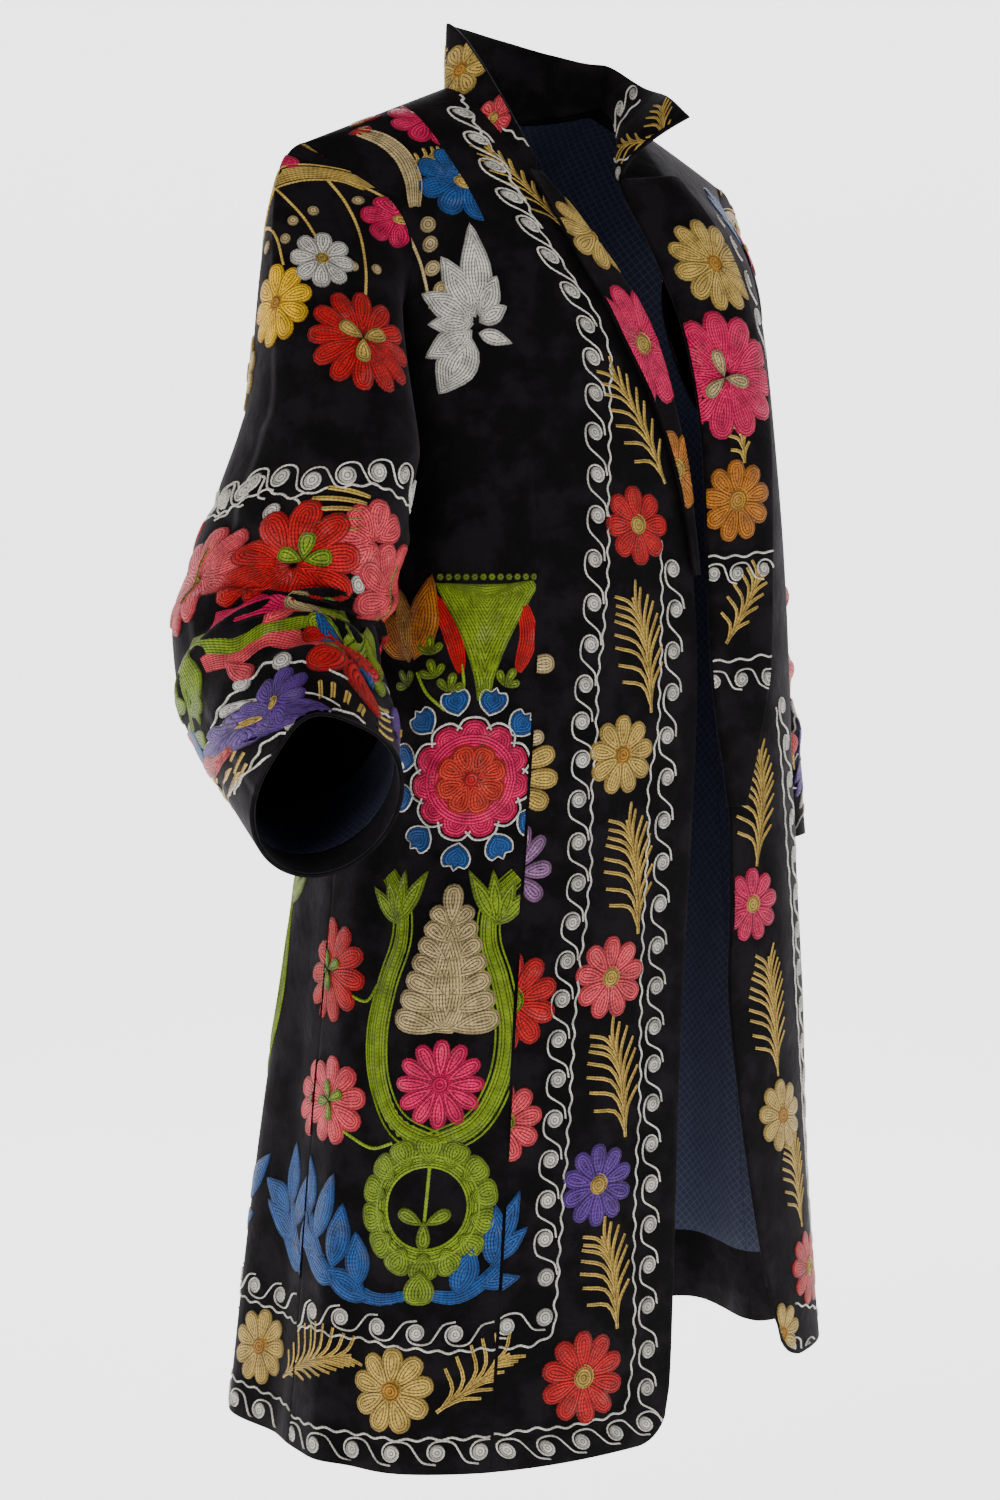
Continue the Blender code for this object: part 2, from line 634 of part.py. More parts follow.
def sleeve_grid(rows, folds, side, rings):
    """Points and normals of a sleeve: the head, from the armhole to the arm, and then the arm."""
    start, seam_normals = armhole(side)
    columns = len(start)
    around = np.arange(columns) * 360.0 / columns
    arm = np.array(rings)[:, None]
    lower = sleeve_point(rows, folds, side, *np.broadcast_arrays(arm, around[None, :]))
    way = arm_frame(rows, side, np.zeros(1))[1]
    share = (1 - np.cos(np.radians(around))) / 2
    dip = np.radians(CAP_DIP_TOP + (CAP_DIP_UNDERARM - CAP_DIP_TOP) * share)[:, None]
    sideways = np.array([side, 0.0, 0.0])
    down = np.array([0.0, 0.0, -1.0])
    reach = (CAP_REACH + (UNDERARM_REACH - CAP_REACH) * share)[:, None]
    leave = (sideways * np.cos(dip) + down * np.sin(dip)) * reach
    arrive = way * (ARM_REACH + (UNDERARM_REACH - ARM_REACH) * share)[:, None]
    head = []
    for t in CAP_RINGS:
        place = start * (2 * t**3 - 3 * t**2 + 1) + lower[0] * (3 * t**2 - 2 * t**3)
        head.append(place + leave * (t**3 - 2 * t**2 + t) + arrive * (t**3 - t**2))
    points = np.concatenate([np.array(head), lower])
    wrapped = np.concatenate([points[:, -1:], points, points[:, :1]], axis=1)
    by_column = wrapped[:, 2:] - wrapped[:, :-2]
    by_row = np.gradient(points, axis=0)
    normals = unit(np.cross(by_row, by_column)) * -side
    normals[0] = seam_normals
    normals[1] = unit(normals[1] + seam_normals)
    return points, normals


def make_sleeve(name, rows, folds, side, rings, facing_rings):
    """A sleeve, with the cuff's facing and as much of the lining as shows past it."""
    points, normals = sleeve_grid(rows, folds, side, rings)
    sheet(f"sleeve_{name}", points, normals, CLOTH, VELVET, closed=True)
    depth = CLOTH + LAYER_GAP
    top = -facing_rings - 1
    facing = points[top:], normals[top:]
    sheet(f"cuff_facing_{name}", *facing, LINING, PLAIN_VELVET, depth, ("top",), closed=True)
    first = top - SLEEVE_LINING_RINGS
    shown = points[first : top + 1], normals[first : top + 1]
    sheet(f"sleeve_lining_{name}", *shown, LINING, CHECKED_LINING, depth, ("bottom",), closed=True)


def main():
    for thing in list(bpy.data.objects):
        bpy.data.objects.remove(thing, do_unlink=True)
    collection = bpy.data.collections.new(COLLECTION)
    bpy.context.scene.collection.children.link(collection)
    right = make_front("right", FRONT_RIGHT, -1)
    left = make_front("left", FRONT_LEFT, 1)
    back = make_back()
    make_collar(right, back, left)
    make_lapel("right", FRONT_RIGHT, LAPEL_RIGHT, -1)
    make_lapel("left", FRONT_LEFT, LAPEL_LEFT, 1)
    make_sleeve("right", ARM_RIGHT, FOLDS_RIGHT, -1, ARM_RINGS_RIGHT, CUFF_FACING_RINGS_RIGHT)
    make_sleeve("left", ARM_LEFT, FOLDS_LEFT, 1, ARM_RINGS_LEFT, CUFF_FACING_RINGS_LEFT)


main()
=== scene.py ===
"""A worn velvet chapan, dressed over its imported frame: velvet, linings and silk chain stitch.

Metres, +Z up. The wearer faces -Y and the wearer's left is +X. The origin is at the neck.
"""

import logging
import math
from dataclasses import dataclass, field
from enum import Enum
from typing import Callable, NamedTuple, Sequence

import bmesh
import bpy
import mathutils
import numpy as np
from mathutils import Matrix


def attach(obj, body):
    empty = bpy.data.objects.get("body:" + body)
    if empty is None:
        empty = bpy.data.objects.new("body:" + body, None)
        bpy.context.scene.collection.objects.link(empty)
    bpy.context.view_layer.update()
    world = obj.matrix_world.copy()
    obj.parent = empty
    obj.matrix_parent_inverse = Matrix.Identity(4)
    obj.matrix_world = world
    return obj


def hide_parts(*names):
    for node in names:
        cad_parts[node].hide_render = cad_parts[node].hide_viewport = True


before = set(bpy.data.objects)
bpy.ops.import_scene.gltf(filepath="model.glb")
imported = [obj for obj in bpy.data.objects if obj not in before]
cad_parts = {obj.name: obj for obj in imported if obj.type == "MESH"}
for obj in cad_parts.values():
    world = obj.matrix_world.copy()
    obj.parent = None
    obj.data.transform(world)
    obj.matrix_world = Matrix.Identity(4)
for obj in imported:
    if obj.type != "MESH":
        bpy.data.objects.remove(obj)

log = logging.getLogger("chapan")
Array = np.ndarray
Colour = tuple[float, float, float]
Place = tuple[float, float, float]
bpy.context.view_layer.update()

SEAM_GAP = 0.0003
LAYER_GAP = 0.0006
VELVET_THICK = 0.0020
LINING_THICK = 0.0010
STEP = 1e-4
TURN_STEP = 0.05
TINY = 1e-9
RIM_SHARE = 0.3  # the soft rim's share of a wall's thickness
RIM_MOST = 0.0006
RIM_ANGLE = 55.0
MM = 0.001
ROWS_EACH = 6  # fine rows between two heights of the tables


# Plain maths


def unit(vectors: Array) -> Array:
    """The same directions at length one."""
    return vectors / np.maximum(np.linalg.norm(vectors, axis=-1, keepdims=True), 1e-12)


def ease(x: Array) -> Array:
    """Nothing below 0, one above 1, and smooth between."""
    x = np.clip(x, 0.0, 1.0)
    return x * x * (3 - 2 * x)


def stack(x: Array, y: Array, z: Array) -> Array:
    """Three fields of numbers as one field of points."""
    return np.stack(np.broadcast_arrays(x, y, z), axis=-1).astype(float)


def refined(values: Sequence[float], each: int) -> Array:
    """The same run of numbers with each step cut into equal parts.

    Args:
        values: The numbers, in order.
        each: How many parts each step is cut into.

    Returns:
        The longer run.
    """
    places = np.arange((len(values) - 1) * each + 1) / each
    return np.interp(places, np.arange(len(values)), values)


def curve(rows: Sequence[NamedTuple], across: str, name: str) -> Callable[[Array], Array]:
    """A smooth function through one column of a table, which goes on in line past its ends.

    Args:
        rows: The table.
        across: The column that is the function's argument.
        name: The column that is its value.

    Returns:
        The function, which takes and gives arrays.
    """
    xs = np.array([getattr(row, across) for row in rows], dtype=float)
    ys = np.array([getattr(row, name) for row in rows], dtype=float)
    slopes = np.gradient(ys, xs)

    def at(x: Array) -> Array:
        """The value at x."""
        beyond = x - np.clip(x, xs[0], xs[-1])
        x = x - beyond
        i = np.clip(np.searchsorted(xs, x) - 1, 0, len(xs) - 2)
        width = xs[i + 1] - xs[i]
        t = (x - xs[i]) / width
        value = ys[i] + (ys[i + 1] - ys[i]) * t * t * (3 - 2 * t)
        bend = slopes[i] * t * (1 - t) ** 2 - slopes[i + 1] * t * t * (1 - t)
        return value + width * bend + beyond * np.where(beyond < 0, slopes[0], slopes[-1])

    return at


# Tables of the coat's shape, the same as the frame's


def table(kind: type, rows: Sequence[Sequence[float]]) -> tuple:
    """The rows of a table, each of the same kind."""
    return tuple(kind(*row) for row in rows)


class BodyRow(NamedTuple):
    """A level of the body."""

    down: float
    half_width: float
    front_depth: float
    back_depth: float
    side_y: float


class FrontRow(NamedTuple):
    """Where a front ends at the opening, and where its two panels are sewn together."""

    down: float
    edge_x: float
    seam_x: float


class BodyFold(NamedTuple):
    """A soft fold down the body."""

    turn: float
    width: float
    starts: float
    full: float
    height: float
    drift: float


class SwingRow(NamedTuple):
    """How far the open left front stands off."""

    down: float
    swing: float


class CollarRow(NamedTuple):
    """The collar's height and lean, along the neckline from the right front."""

    along: float
    rise: float
    lean: float


class LapelRow(NamedTuple):
    """The turned-back band of a front."""

    down: float
    width: float
    lift: float


class ArmRow(NamedTuple):
    """A section of a sleeve."""

    along: float
    x: float
    y: float
    z: float
    across: float
    fore: float
    turn: float


class SleeveFold(NamedTuple):
    """A bunched fold of a sleeve."""

    along: float
    around: float
    height: float
    length: float
    spread: float
    slant: float


UNDERARM = 0.245
ARMHOLE_HEIGHTS = (0.0, 0.006, 0.020, 0.045, 0.080, 0.120, 0.160, 0.200, 0.230, UNDERARM)
HEIGHTS = ARMHOLE_HEIGHTS + (0.30, 0.37, 0.45, 0.54, 0.64, 0.75, 0.87, 0.99)
HEM = HEIGHTS[-1]
COLLAR_ENDS_ROW = 4
LEVEL_ROW = ROWS_EACH * HEIGHTS.index(0.30)  # the row that the patterns' heights start from
SEAM_COLUMN = 40  # where a front's border and side panels are sewn together
ARM_SKEW = 0.75
ARM_FULLNESS = 0.6

BODY = table(BodyRow, (
    (0, 0.2, 0.093, 0.097, 0), (0.06, 0.196, 0.093, 0.097, 0), (0.14, 0.186, 0.104, 0.097, -0.004),
    (0.24, 0.176, 0.118, 0.096, -0.012), (0.36, 0.179, 0.127, 0.097, -0.018), (0.48, 0.186, 0.133, 0.104, -0.02),
    (0.6, 0.196, 0.14, 0.118, -0.02), (0.75, 0.213, 0.15, 0.138, -0.02), (0.99, 0.238, 0.164, 0.16, -0.02),
))
FRONT_RIGHT = table(FrontRow, (
    (0, -0.075, -0.118), (0.03, -0.066, -0.115), (0.08, -0.05, -0.109), (0.125, -0.026, -0.104),
    (0.18, 0.007, -0.1), (0.25, 0.026, -0.097), (0.34, 0.037, -0.098), (0.44, 0.039, -0.105), (0.54, 0.029, -0.115),
    (0.68, 0.011, -0.13), (0.99, -0.017, -0.161),
))
FRONT_LEFT = table(FrontRow, (
    (0, 0.075, 0.13), (0.03, 0.058, 0.13), (0.06, 0.038, 0.131), (0.09, 0.031, 0.133), (0.13, 0.039, 0.137),
    (0.19, 0.053, 0.143), (0.27, 0.059, 0.15), (0.36, 0.055, 0.155), (0.45, 0.056, 0.161), (0.55, 0.07, 0.171),
    (0.62, 0.068, 0.177), (0.69, 0.062, 0.184), (0.77, 0.07, 0.194), (0.99, 0.109, 0.22),
))
BODY_FOLDS = table(BodyFold, (
    (-52, 7, 0.2, 0.34, 0.003, -6), (-66, 6, 0.22, 0.4, -0.0035, -4), (-80, 7, 0.45, 0.99, 0.006, 4),
    (-104, 9, 0.4, 0.99, -0.008, 3), (-122, 9, 0.35, 0.99, 0.012, 2), (-143, 10, 0.4, 0.99, -0.01, 1),
    (-164, 10, 0.3, 0.99, 0.011, 0), (176, 9, 0.4, 0.99, -0.009, 0), (158, 10, 0.3, 0.99, 0.012, 0),
    (137, 10, 0.4, 0.99, -0.011, -1), (117, 9, 0.35, 0.99, 0.012, -2), (96, 8, 0.4, 0.99, -0.007, -3),
    (68, 7, 0.2, 0.4, -0.003, 4), (46, 7, 0.55, 0.99, -0.005, 6),
))
LEFT_SWING = table(SwingRow, (
    (0, 0), (0.05, 0.004), (0.12, 0.013), (0.2, 0.017), (0.4, 0.018), (0.55, 0.014), (0.7, 0.01), (0.82, 0.004),
    (0.99, 0.004),
))
COLLAR = table(CollarRow, (
    (0, 0.014, 0), (0.12, 0.028, 0), (0.28, 0.048, -0.001), (0.4, 0.058, 0), (0.5, 0.058, 0.004),
    (0.6, 0.048, 0.004), (0.72, 0.032, 0.006), (0.84, 0.034, 0.018), (0.93, 0.042, 0.04), (1, 0.045, 0.054),
))
LAPEL_RIGHT = table(LapelRow, (
    (0.08, 0.01, 0.001), (0.12, 0.022, 0.002), (0.16, 0.031, 0.002), (0.2, 0.032, 0.002), (0.245, 0.02, 0.001),
    (0.3, 0.01, 0), (0.37, 0.004, 0),
))
LAPEL_LEFT = table(LapelRow, (
    (0.08, 0.046, 0.003), (0.12, 0.057, 0.004), (0.2, 0.058, 0.004), (0.3, 0.053, 0.003), (0.37, 0.049, 0.003),
    (0.45, 0.041, 0.003), (0.54, 0.01, 0.001),
))
ARM_RIGHT = table(ArmRow, (
    (0, -0.228, -0.067, -0.275, 0.052, 0.075, 0), (1, -0.244, -0.06, -0.335, 0.06, 0.075, 0),
    (2, -0.262, -0.052, -0.402, 0.066, 0.075, 0), (3, -0.28, -0.088, -0.45, 0.064, 0.073, 0),
    (4, -0.301, -0.14, -0.48, 0.057, 0.065, 0), (5, -0.321, -0.19, -0.507, 0.049, 0.058, 0),
))
ARM_LEFT = table(ArmRow, (
    (0, 0.22, 0.05, -0.275, 0.047, 0.063, 20), (1, 0.23, 0.058, -0.34, 0.055, 0.066, 18),
    (2, 0.244, 0.058, -0.405, 0.059, 0.067, 15), (3, 0.257, 0.053, -0.475, 0.056, 0.063, 10),
    (4, 0.266, 0.044, -0.54, 0.052, 0.059, 5), (5, 0.272, 0.035, -0.6, 0.048, 0.055, 0),
))
FOLDS_RIGHT = table(SleeveFold, (
    (0.3, 40, 0.0035, 0.22, 70, 0.3), (0.95, 120, 0.005, 0.16, 80, -0.25), (1.35, 30, -0.005, 0.14, 90, 0.3),
    (1.7, 80, 0.0075, 0.15, 95, -0.35), (2.05, 60, -0.0065, 0.13, 90, 0.25), (2.4, 90, 0.008, 0.14, 100, -0.3),
    (2.75, 110, -0.0065, 0.13, 90, 0.3), (3.1, 70, 0.0075, 0.15, 100, 0.35), (3.5, 95, -0.0055, 0.14, 80, -0.2),
    (3.85, 100, 0.0045, 0.18, 80, 0.2), (2.3, 260, 0.008, 0.6, 60, 0),
))
FOLDS_LEFT = table(SleeveFold, (
    (0.9, 100, 0.004, 0.18, 80, -0.25), (1.4, 60, -0.0045, 0.16, 90, 0.25), (1.85, 90, 0.006, 0.17, 95, -0.3),
    (2.3, 70, -0.0055, 0.16, 90, 0.25), (2.75, 90, 0.006, 0.17, 100, -0.25), (3.2, 100, -0.0045, 0.18, 80, 0.3),
    (3.7, 80, 0.004, 0.2, 80, 0.2),
))


# The body as a surface


@dataclass(frozen=True)
class Body:
    """The coat's body as a smooth surface, found from a height and a turn round the wearer."""

    neck_x: float = 0.075
    neck_below: float = 0.016
    neck_fades: float = 0.12
    slope: float = 0.40
    slope_fades: float = 0.26
    round_over: float = 0.20
    round_power: float = 0.6
    boxy: float = 2.5
    swing_grows: float = 22.0
    swing_ends: float = 82.0
    swing_fades: float = 34.0
    tip_turn: float = 84.0
    tip_down: float = 0.004

    def level(self, name: str, down: Array) -> Array:
        """One column of the body's table at a height."""
        return curve(BODY, "down", name)(down)

    def turn_of(self, x: Array, down: Array) -> Array:
        """The angle round the front at which the body is x from its middle."""
        share = np.clip(np.abs(x) / self.level("half_width", down), 0.0, 0.9999)
        rest = (1 - share**self.boxy) ** (1 / self.boxy)
        return np.sign(x) * np.degrees(np.arctan2(share, rest))

    def smooth(self, front: bool, down: Array, turn: Array) -> Array:
        """A point before the folds.

        Args:
            front: True on the front half, False on the back.
            down: Heights below the neck.
            turn: Degrees, 0 in front and 90 at the wearer's left.

        Returns:
            The points.
        """
        angle = np.radians(turn)
        s = np.sin(angle)
        c = np.cos(angle)
        boxy = (np.abs(s) ** self.boxy + np.abs(c) ** self.boxy) ** (-1 / self.boxy)
        share = 1 - np.clip(down / self.round_over, 0.0, 1.0)
        rounding = (1 - share * share) ** self.round_power
        depth = self.level("front_depth" if front else "back_depth", down) * rounding
        x = self.level("half_width", down) * s * boxy
        gap = SEAM_GAP / 2 if front else -SEAM_GAP / 2
        y = self.level("side_y", down) - gap - depth * c * boxy
        fall = self.slope * np.maximum(0.0, np.abs(x) - self.neck_x)
        z = -down - fall * (1 - ease(down / self.slope_fades))
        return stack(x, y, z - self.neck_below * (1 - ease(down / self.neck_fades)))

    def relief(self, front: bool, down: Array, turn: Array) -> Array:
        """How far the cloth stands out for its folds and the open left front."""
        total = np.zeros(np.broadcast(down, turn).shape)
        for fold in BODY_FOLDS:
            grown = ease((down - fold.starts) / (fold.full - fold.starts))
            away = (turn - fold.turn - fold.drift * grown + 180.0) % 360.0 - 180.0
            total = total + fold.height * grown * np.exp(-((away / fold.width) ** 2))
        if front:
            edge = self.turn_of(curve(FRONT_LEFT, "down", "edge_x")(down), down)
            grown = ease((turn - edge + self.swing_grows / 4) / self.swing_grows)
            swing = curve(LEFT_SWING, "down", "swing")(down)
            total = total + swing * grown * ease((self.swing_ends - turn) / self.swing_fades)
        return total

    def normal_of(self, surface: Callable[[Array, Array], Array], down: Array, turn: Array) -> Array:
        """The way out of a surface, taken just inside the shoulder's tip, which is a point."""
        bow = np.clip((turn + 90.0) % 180.0 - 90.0, -self.tip_turn, self.tip_turn)
        inside = np.floor((turn + 90.0) / 180.0) * 180.0 + bow
        turn = np.where(down < self.tip_down, inside, turn)
        by_down = surface(down + STEP, turn) - surface(np.maximum(down - STEP, 0.0), turn)
        by_turn = surface(down, turn + TURN_STEP) - surface(down, turn - TURN_STEP)
        return unit(np.cross(by_down, by_turn))

    def point(self, front: bool, down: Array, turn: Array) -> Array:
        """A point of the cloth, folds and all."""

        def smooth(d: Array, t: Array) -> Array:
            """The smooth body on this half."""
            return self.smooth(front, d, t)

        relief = self.relief(front, down, turn)[..., None]
        return smooth(down, turn) + relief * self.normal_of(smooth, down, turn)

    def normal(self, front: bool, down: Array, turn: Array) -> Array:
        """The way out of the cloth, which leans neither way along the shoulder seam."""

        def surface(d: Array, t: Array) -> Array:
            """The folded cloth on this half."""
            return self.point(front, d, t)

        level = np.where(down > 0.0, 1.0, 0.0)
        return unit(self.normal_of(surface, down, turn) * stack(1.0, level, 1.0))


BODY_SURFACE = Body()


# Cloth as a fine grid


@dataclass
class Cloth:
    """A panel as a fine grid of points, with flat measures across and up it for its patterns."""

    points: Array
    normals: Array
    guide: int = 0
    sign: float = 1.0
    level_row: int = 0
    closed: bool = False
    rounds: int = 14  # how often a place is corrected
    stride: float = 8.0  # the largest correction, in grid steps
    beyond: float = 20.0  # how far past the grid a place may lie
    across: Array = field(init=False)
    up: Array = field(init=False)

    def __post_init__(self) -> None:
        """Measures the cloth across from its guide column, and up from its level row."""
        wide = self.points
        steps = np.linalg.norm(np.diff(wide, axis=1), axis=-1)
        run = np.concatenate([np.zeros((len(wide), 1)), np.cumsum(steps, axis=1)], axis=1)
        self.across = self.sign * (run - run[:, self.guide : self.guide + 1])
        steps = np.linalg.norm(np.diff(wide, axis=0), axis=-1)
        fall = np.concatenate([np.zeros((1, wide.shape[1])), np.cumsum(steps, axis=0)])
        z = wide[self.level_row, :, 2][None]
        self.up = z - (fall - fall[self.level_row][None])

    def part(self, first: int, last: int | None, guide: int, sign: float) -> "Cloth":
        """The columns from first to last as a cloth of their own."""
        return Cloth(self.points[:, first:last], self.normals[:, first:last], guide, sign, self.level_row)

    def cells(self, i: Array, j: Array) -> tuple[Array, Array, Array, Array]:
        """The grid cell of each place, and how far into it the place lies."""
        rows, columns = self.points.shape[:2]
        i0 = np.clip(np.floor(i), 0, rows - 2).astype(int)
        j0 = np.clip(np.floor(j), 0, columns - 2).astype(int)
        return i0, j0, i - i0, j - j0

    def mixed(self, values: Array, i: Array, j: Array) -> Array:
        """A field of the grid at places between its points."""
        i0, j0, fi, fj = self.cells(i, j)
        if values.ndim == 3:
            fi = fi[..., None]
            fj = fj[..., None]
        top = values[i0, j0] * (1 - fj) + values[i0, j0 + 1] * fj
        low = values[i0 + 1, j0] * (1 - fj) + values[i0 + 1, j0 + 1] * fj
        return top * (1 - fi) + low * fi

    def find(self, a: Array, b: Array) -> tuple[Array, Array]:
        """The grid places of flat places.

        Args:
            a: Distances across from the guide column.
            b: Heights up the cloth.

        Returns:
            Row and column places, which run past the grid where the flat place does.
        """
        rows, columns = self.points.shape[:2]
        mean_up = self.up.mean(axis=1)
        mean_across = self.across.mean(axis=0)
        i = np.interp(-b, -mean_up, np.arange(rows))
        order = 1 if mean_across[-1] > mean_across[0] else -1
        j = np.interp(a * order, mean_across * order, np.arange(columns))
        for _ in range(self.rounds):
            i0, j0, fi, fj = self.cells(i, j)
            off_a = a - self.mixed(self.across, i, j)
            off_b = b - self.mixed(self.up, i, j)
            slopes = []
            for values in (self.across, self.up):
                v00, v01 = values[i0, j0], values[i0, j0 + 1]
                v10, v11 = values[i0 + 1, j0], values[i0 + 1, j0 + 1]
                slopes.append((v10 - v00) * (1 - fj) + (v11 - v01) * fj)
                slopes.append((v01 - v00) * (1 - fi) + (v11 - v10) * fi)
            a_i, a_j, b_i, b_j = slopes
            size = a_i * b_j - a_j * b_i
            size = np.where(np.abs(size) < 1e-12, 1e-12, size)
            step_i, step_j = (
                np.clip(step / size, -self.stride, self.stride)
                for step in (off_a * b_j - a_j * off_b, a_i * off_b - off_a * b_i)
            )
            i = np.clip(i + step_i, -self.beyond, rows + self.beyond)
            j = np.clip(j + step_j, -self.beyond, columns + self.beyond)
        return i, j

    def handed(self) -> float:
        """1 where columns, rows upwards and the way out follow the right hand, and -1 where not."""
        i, j = (n // 2 for n in self.points.shape[:2])
        along = self.points[i, j + 1] - self.points[i, j]
        upward = self.points[i, j] - self.points[i + 1, j]
        return float(np.sign(np.dot(np.cross(along, upward), self.normals[i, j])))

    def inner(self, thickness: float) -> "Cloth":
        """The other face of a wall this thick."""
        points = self.points - self.normals * thickness
        return Cloth(points, -self.normals, self.guide, self.sign, self.level_row, self.closed)

    def area(self) -> float:
        """The grid's area in square metres."""
        along = self.points[:-1, 1:] - self.points[:-1, :-1]
        down = self.points[1:, :-1] - self.points[:-1, :-1]
        return float(np.linalg.norm(np.cross(along, down), axis=-1).sum())

    def lay(self, i: Array, j: Array, height: Array) -> Array:
        """Points that lie a height above the cloth at grid places."""
        normal = unit(self.mixed(self.normals, i, j))
        return self.mixed(self.points, i, j) + normal * height[..., None]


def placed(name: str, data: bpy.types.ID) -> bpy.types.Object:
    """A new object of the scene that shows some data."""
    made = bpy.data.objects.new(name, data)
    bpy.context.scene.collection.objects.link(made)
    return made


def coords(mesh: bpy.types.Mesh) -> Array:
    """A mesh's points."""
    co = np.empty(len(mesh.vertices) * 3)
    mesh.vertices.foreach_get("co", co)
    return co.reshape(-1, 3)


def map_flat(mesh: bpy.types.Mesh, name: str, uv: Array) -> None:
    """Gives each corner of a mesh its point's two flat measures."""
    corner = np.empty(len(mesh.loops), dtype=np.int32)
    mesh.loops.foreach_get("vertex_index", corner)
    mesh.uv_layers.new(name=name).data.foreach_set("uv", uv[corner].ravel())


def grid_mesh(name: str, shape: tuple[int, int]) -> tuple[bpy.types.Mesh, Array, Array]:
    """A flat grid as a mesh, and the row and column of each of its vertices.

    Args:
        name: The mesh's name.
        shape: Rows and columns of points.

    Returns:
        The mesh, the rows and the columns.
    """
    rows, columns = shape
    bm = bmesh.new()
    bmesh.ops.create_grid(bm, x_segments=columns - 1, y_segments=rows - 1, size=1.0)
    mesh = bpy.data.meshes.new(name)
    bm.to_mesh(mesh)
    bm.free()
    co = coords(mesh)
    row = np.rint((co[:, 1] + 1) / 2 * (rows - 1)).astype(int)
    column = np.rint((co[:, 0] + 1) / 2 * (columns - 1)).astype(int)
    return mesh, row, column


def wall(name: str, cloth: Cloth, thickness: float, depth: float = 0.0) -> bpy.types.Object:
    """A cloth panel with real thickness, its outer face on the grid and the rest inside it.

    Args:
        name: The piece's name.
        cloth: The panel.
        thickness: How thick it is.
        depth: How far inside the grid its outer face lies.

    Returns:
        The piece.
    """
    points = cloth.points - cloth.normals * depth
    mesh, row, column = grid_mesh(name, points.shape[:2])
    mesh.vertices.foreach_set("co", points[row, column].ravel())
    map_flat(mesh, "flat", np.stack([cloth.across[row, column], cloth.up[row, column]], axis=-1))
    bm = bmesh.new()
    bm.from_mesh(mesh)
    bm.verts.ensure_lookup_table()
    outwards = cloth.normals[row, column]
    bm.faces.ensure_lookup_table()
    middle = bm.faces[len(bm.faces) // 2]
    middle.normal_update()
    if np.dot(middle.normal, outwards[middle.verts[0].index]) < 0:
        bmesh.ops.reverse_faces(bm, faces=bm.faces[:])
    place = bm.verts.layers.int.new("place")
    for vert in bm.verts:
        vert[place] = vert.index
    inner = (points - cloth.normals * thickness)[row, column]
    made = bmesh.ops.extrude_face_region(bm, geom=bm.faces[:], use_keep_orig=True)
    fresh = [item for item in made["geom"] if isinstance(item, bmesh.types.BMVert)]
    for vert in fresh:
        vert.co = inner[vert[place]]
    fresh_faces = [item for item in made["geom"] if isinstance(item, bmesh.types.BMFace)]
    bmesh.ops.reverse_faces(bm, faces=fresh_faces)
    if cloth.closed:
        bmesh.ops.remove_doubles(bm, verts=bm.verts[:], dist=STEP / 20)
    bmesh.ops.recalc_face_normals(bm, faces=bm.faces[:])
    if bm.calc_volume(signed=True) < 0:
        bmesh.ops.reverse_faces(bm, faces=bm.faces[:])
    bm.verts.layers.int.remove(place)
    bm.to_mesh(mesh)
    bm.free()
    mesh.shade_smooth()
    piece = placed(name, mesh)
    soft = piece.modifiers.new("soft rim", "BEVEL")
    soft.width = min(thickness * RIM_SHARE, RIM_MOST)
    soft.segments = 2
    soft.limit_method = "ANGLE"
    soft.angle_limit = math.radians(RIM_ANGLE)
    soft.harden_normals = False
    return piece


# The panels


def arm_bow(down: Array, dip: float) -> Array:
    """How many degrees an armhole's edge turns in at a height, at most the dip."""
    q = np.clip(down / UNDERARM, 0.0, 1.0)
    return dip * np.sin(np.pi * q**ARM_SKEW).clip(0.0, 1.0) ** ARM_FULLNESS


@dataclass
class Front:
    """One front of the coat: a border panel along the opening and a side panel sewn to it."""

    side: int
    rows: Sequence[FrontRow]
    hem_lift: float = 0.0
    side_columns: int = 44
    arm_dip: float = 40.0
    corner: float = 0.030
    corner_scale: float = 0.146
    beyond_corner: float = 0.2
    lift_grows: int = 3
    corner_grows: int = 30

    def outer(self, down: Array) -> Array:
        """The turn at which the front ends at the armhole and the side."""
        return 90.0 - arm_bow(down, self.arm_dip)

    def cloth(self) -> Cloth:
        """The whole front as one cloth, from its edge outwards."""
        body = BODY_SURFACE
        down = refined(HEIGHTS, ROWS_EACH)[:, None]
        edge_x = curve(self.rows, "down", "edge_x")(down)
        edge = body.turn_of(edge_x, down)
        seam = body.turn_of(curve(self.rows, "down", "seam_x")(down), down)
        outer = self.side * self.outer(down)
        border = np.linspace(0.0, 1.0, SEAM_COLUMN + 1)[None, :]
        beyond = np.linspace(0.0, 1.0, self.side_columns + 1)[None, 1:]
        turn = np.concatenate([edge + (seam - edge) * border, seam + (outer - seam) * beyond], axis=1)
        near = ease(np.concatenate([1 + 0 * border, 1 - beyond], axis=1))
        lift = self.hem_lift * near * (down / HEM) ** self.lift_grows
        across = np.concatenate([border * self.corner_scale, self.beyond_corner + beyond], axis=1)
        inset = np.clip(self.corner - across, 0.0, self.corner)
        rounded = self.corner - np.sqrt(np.maximum(self.corner**2 - inset**2, 0.0))
        lift = lift + rounded * (down / HEM) ** self.corner_grows
        down = np.broadcast_to(down - lift, turn.shape)
        return Cloth(body.point(True, down, turn), body.normal(True, down, turn), 0, self.side, LEVEL_ROW)


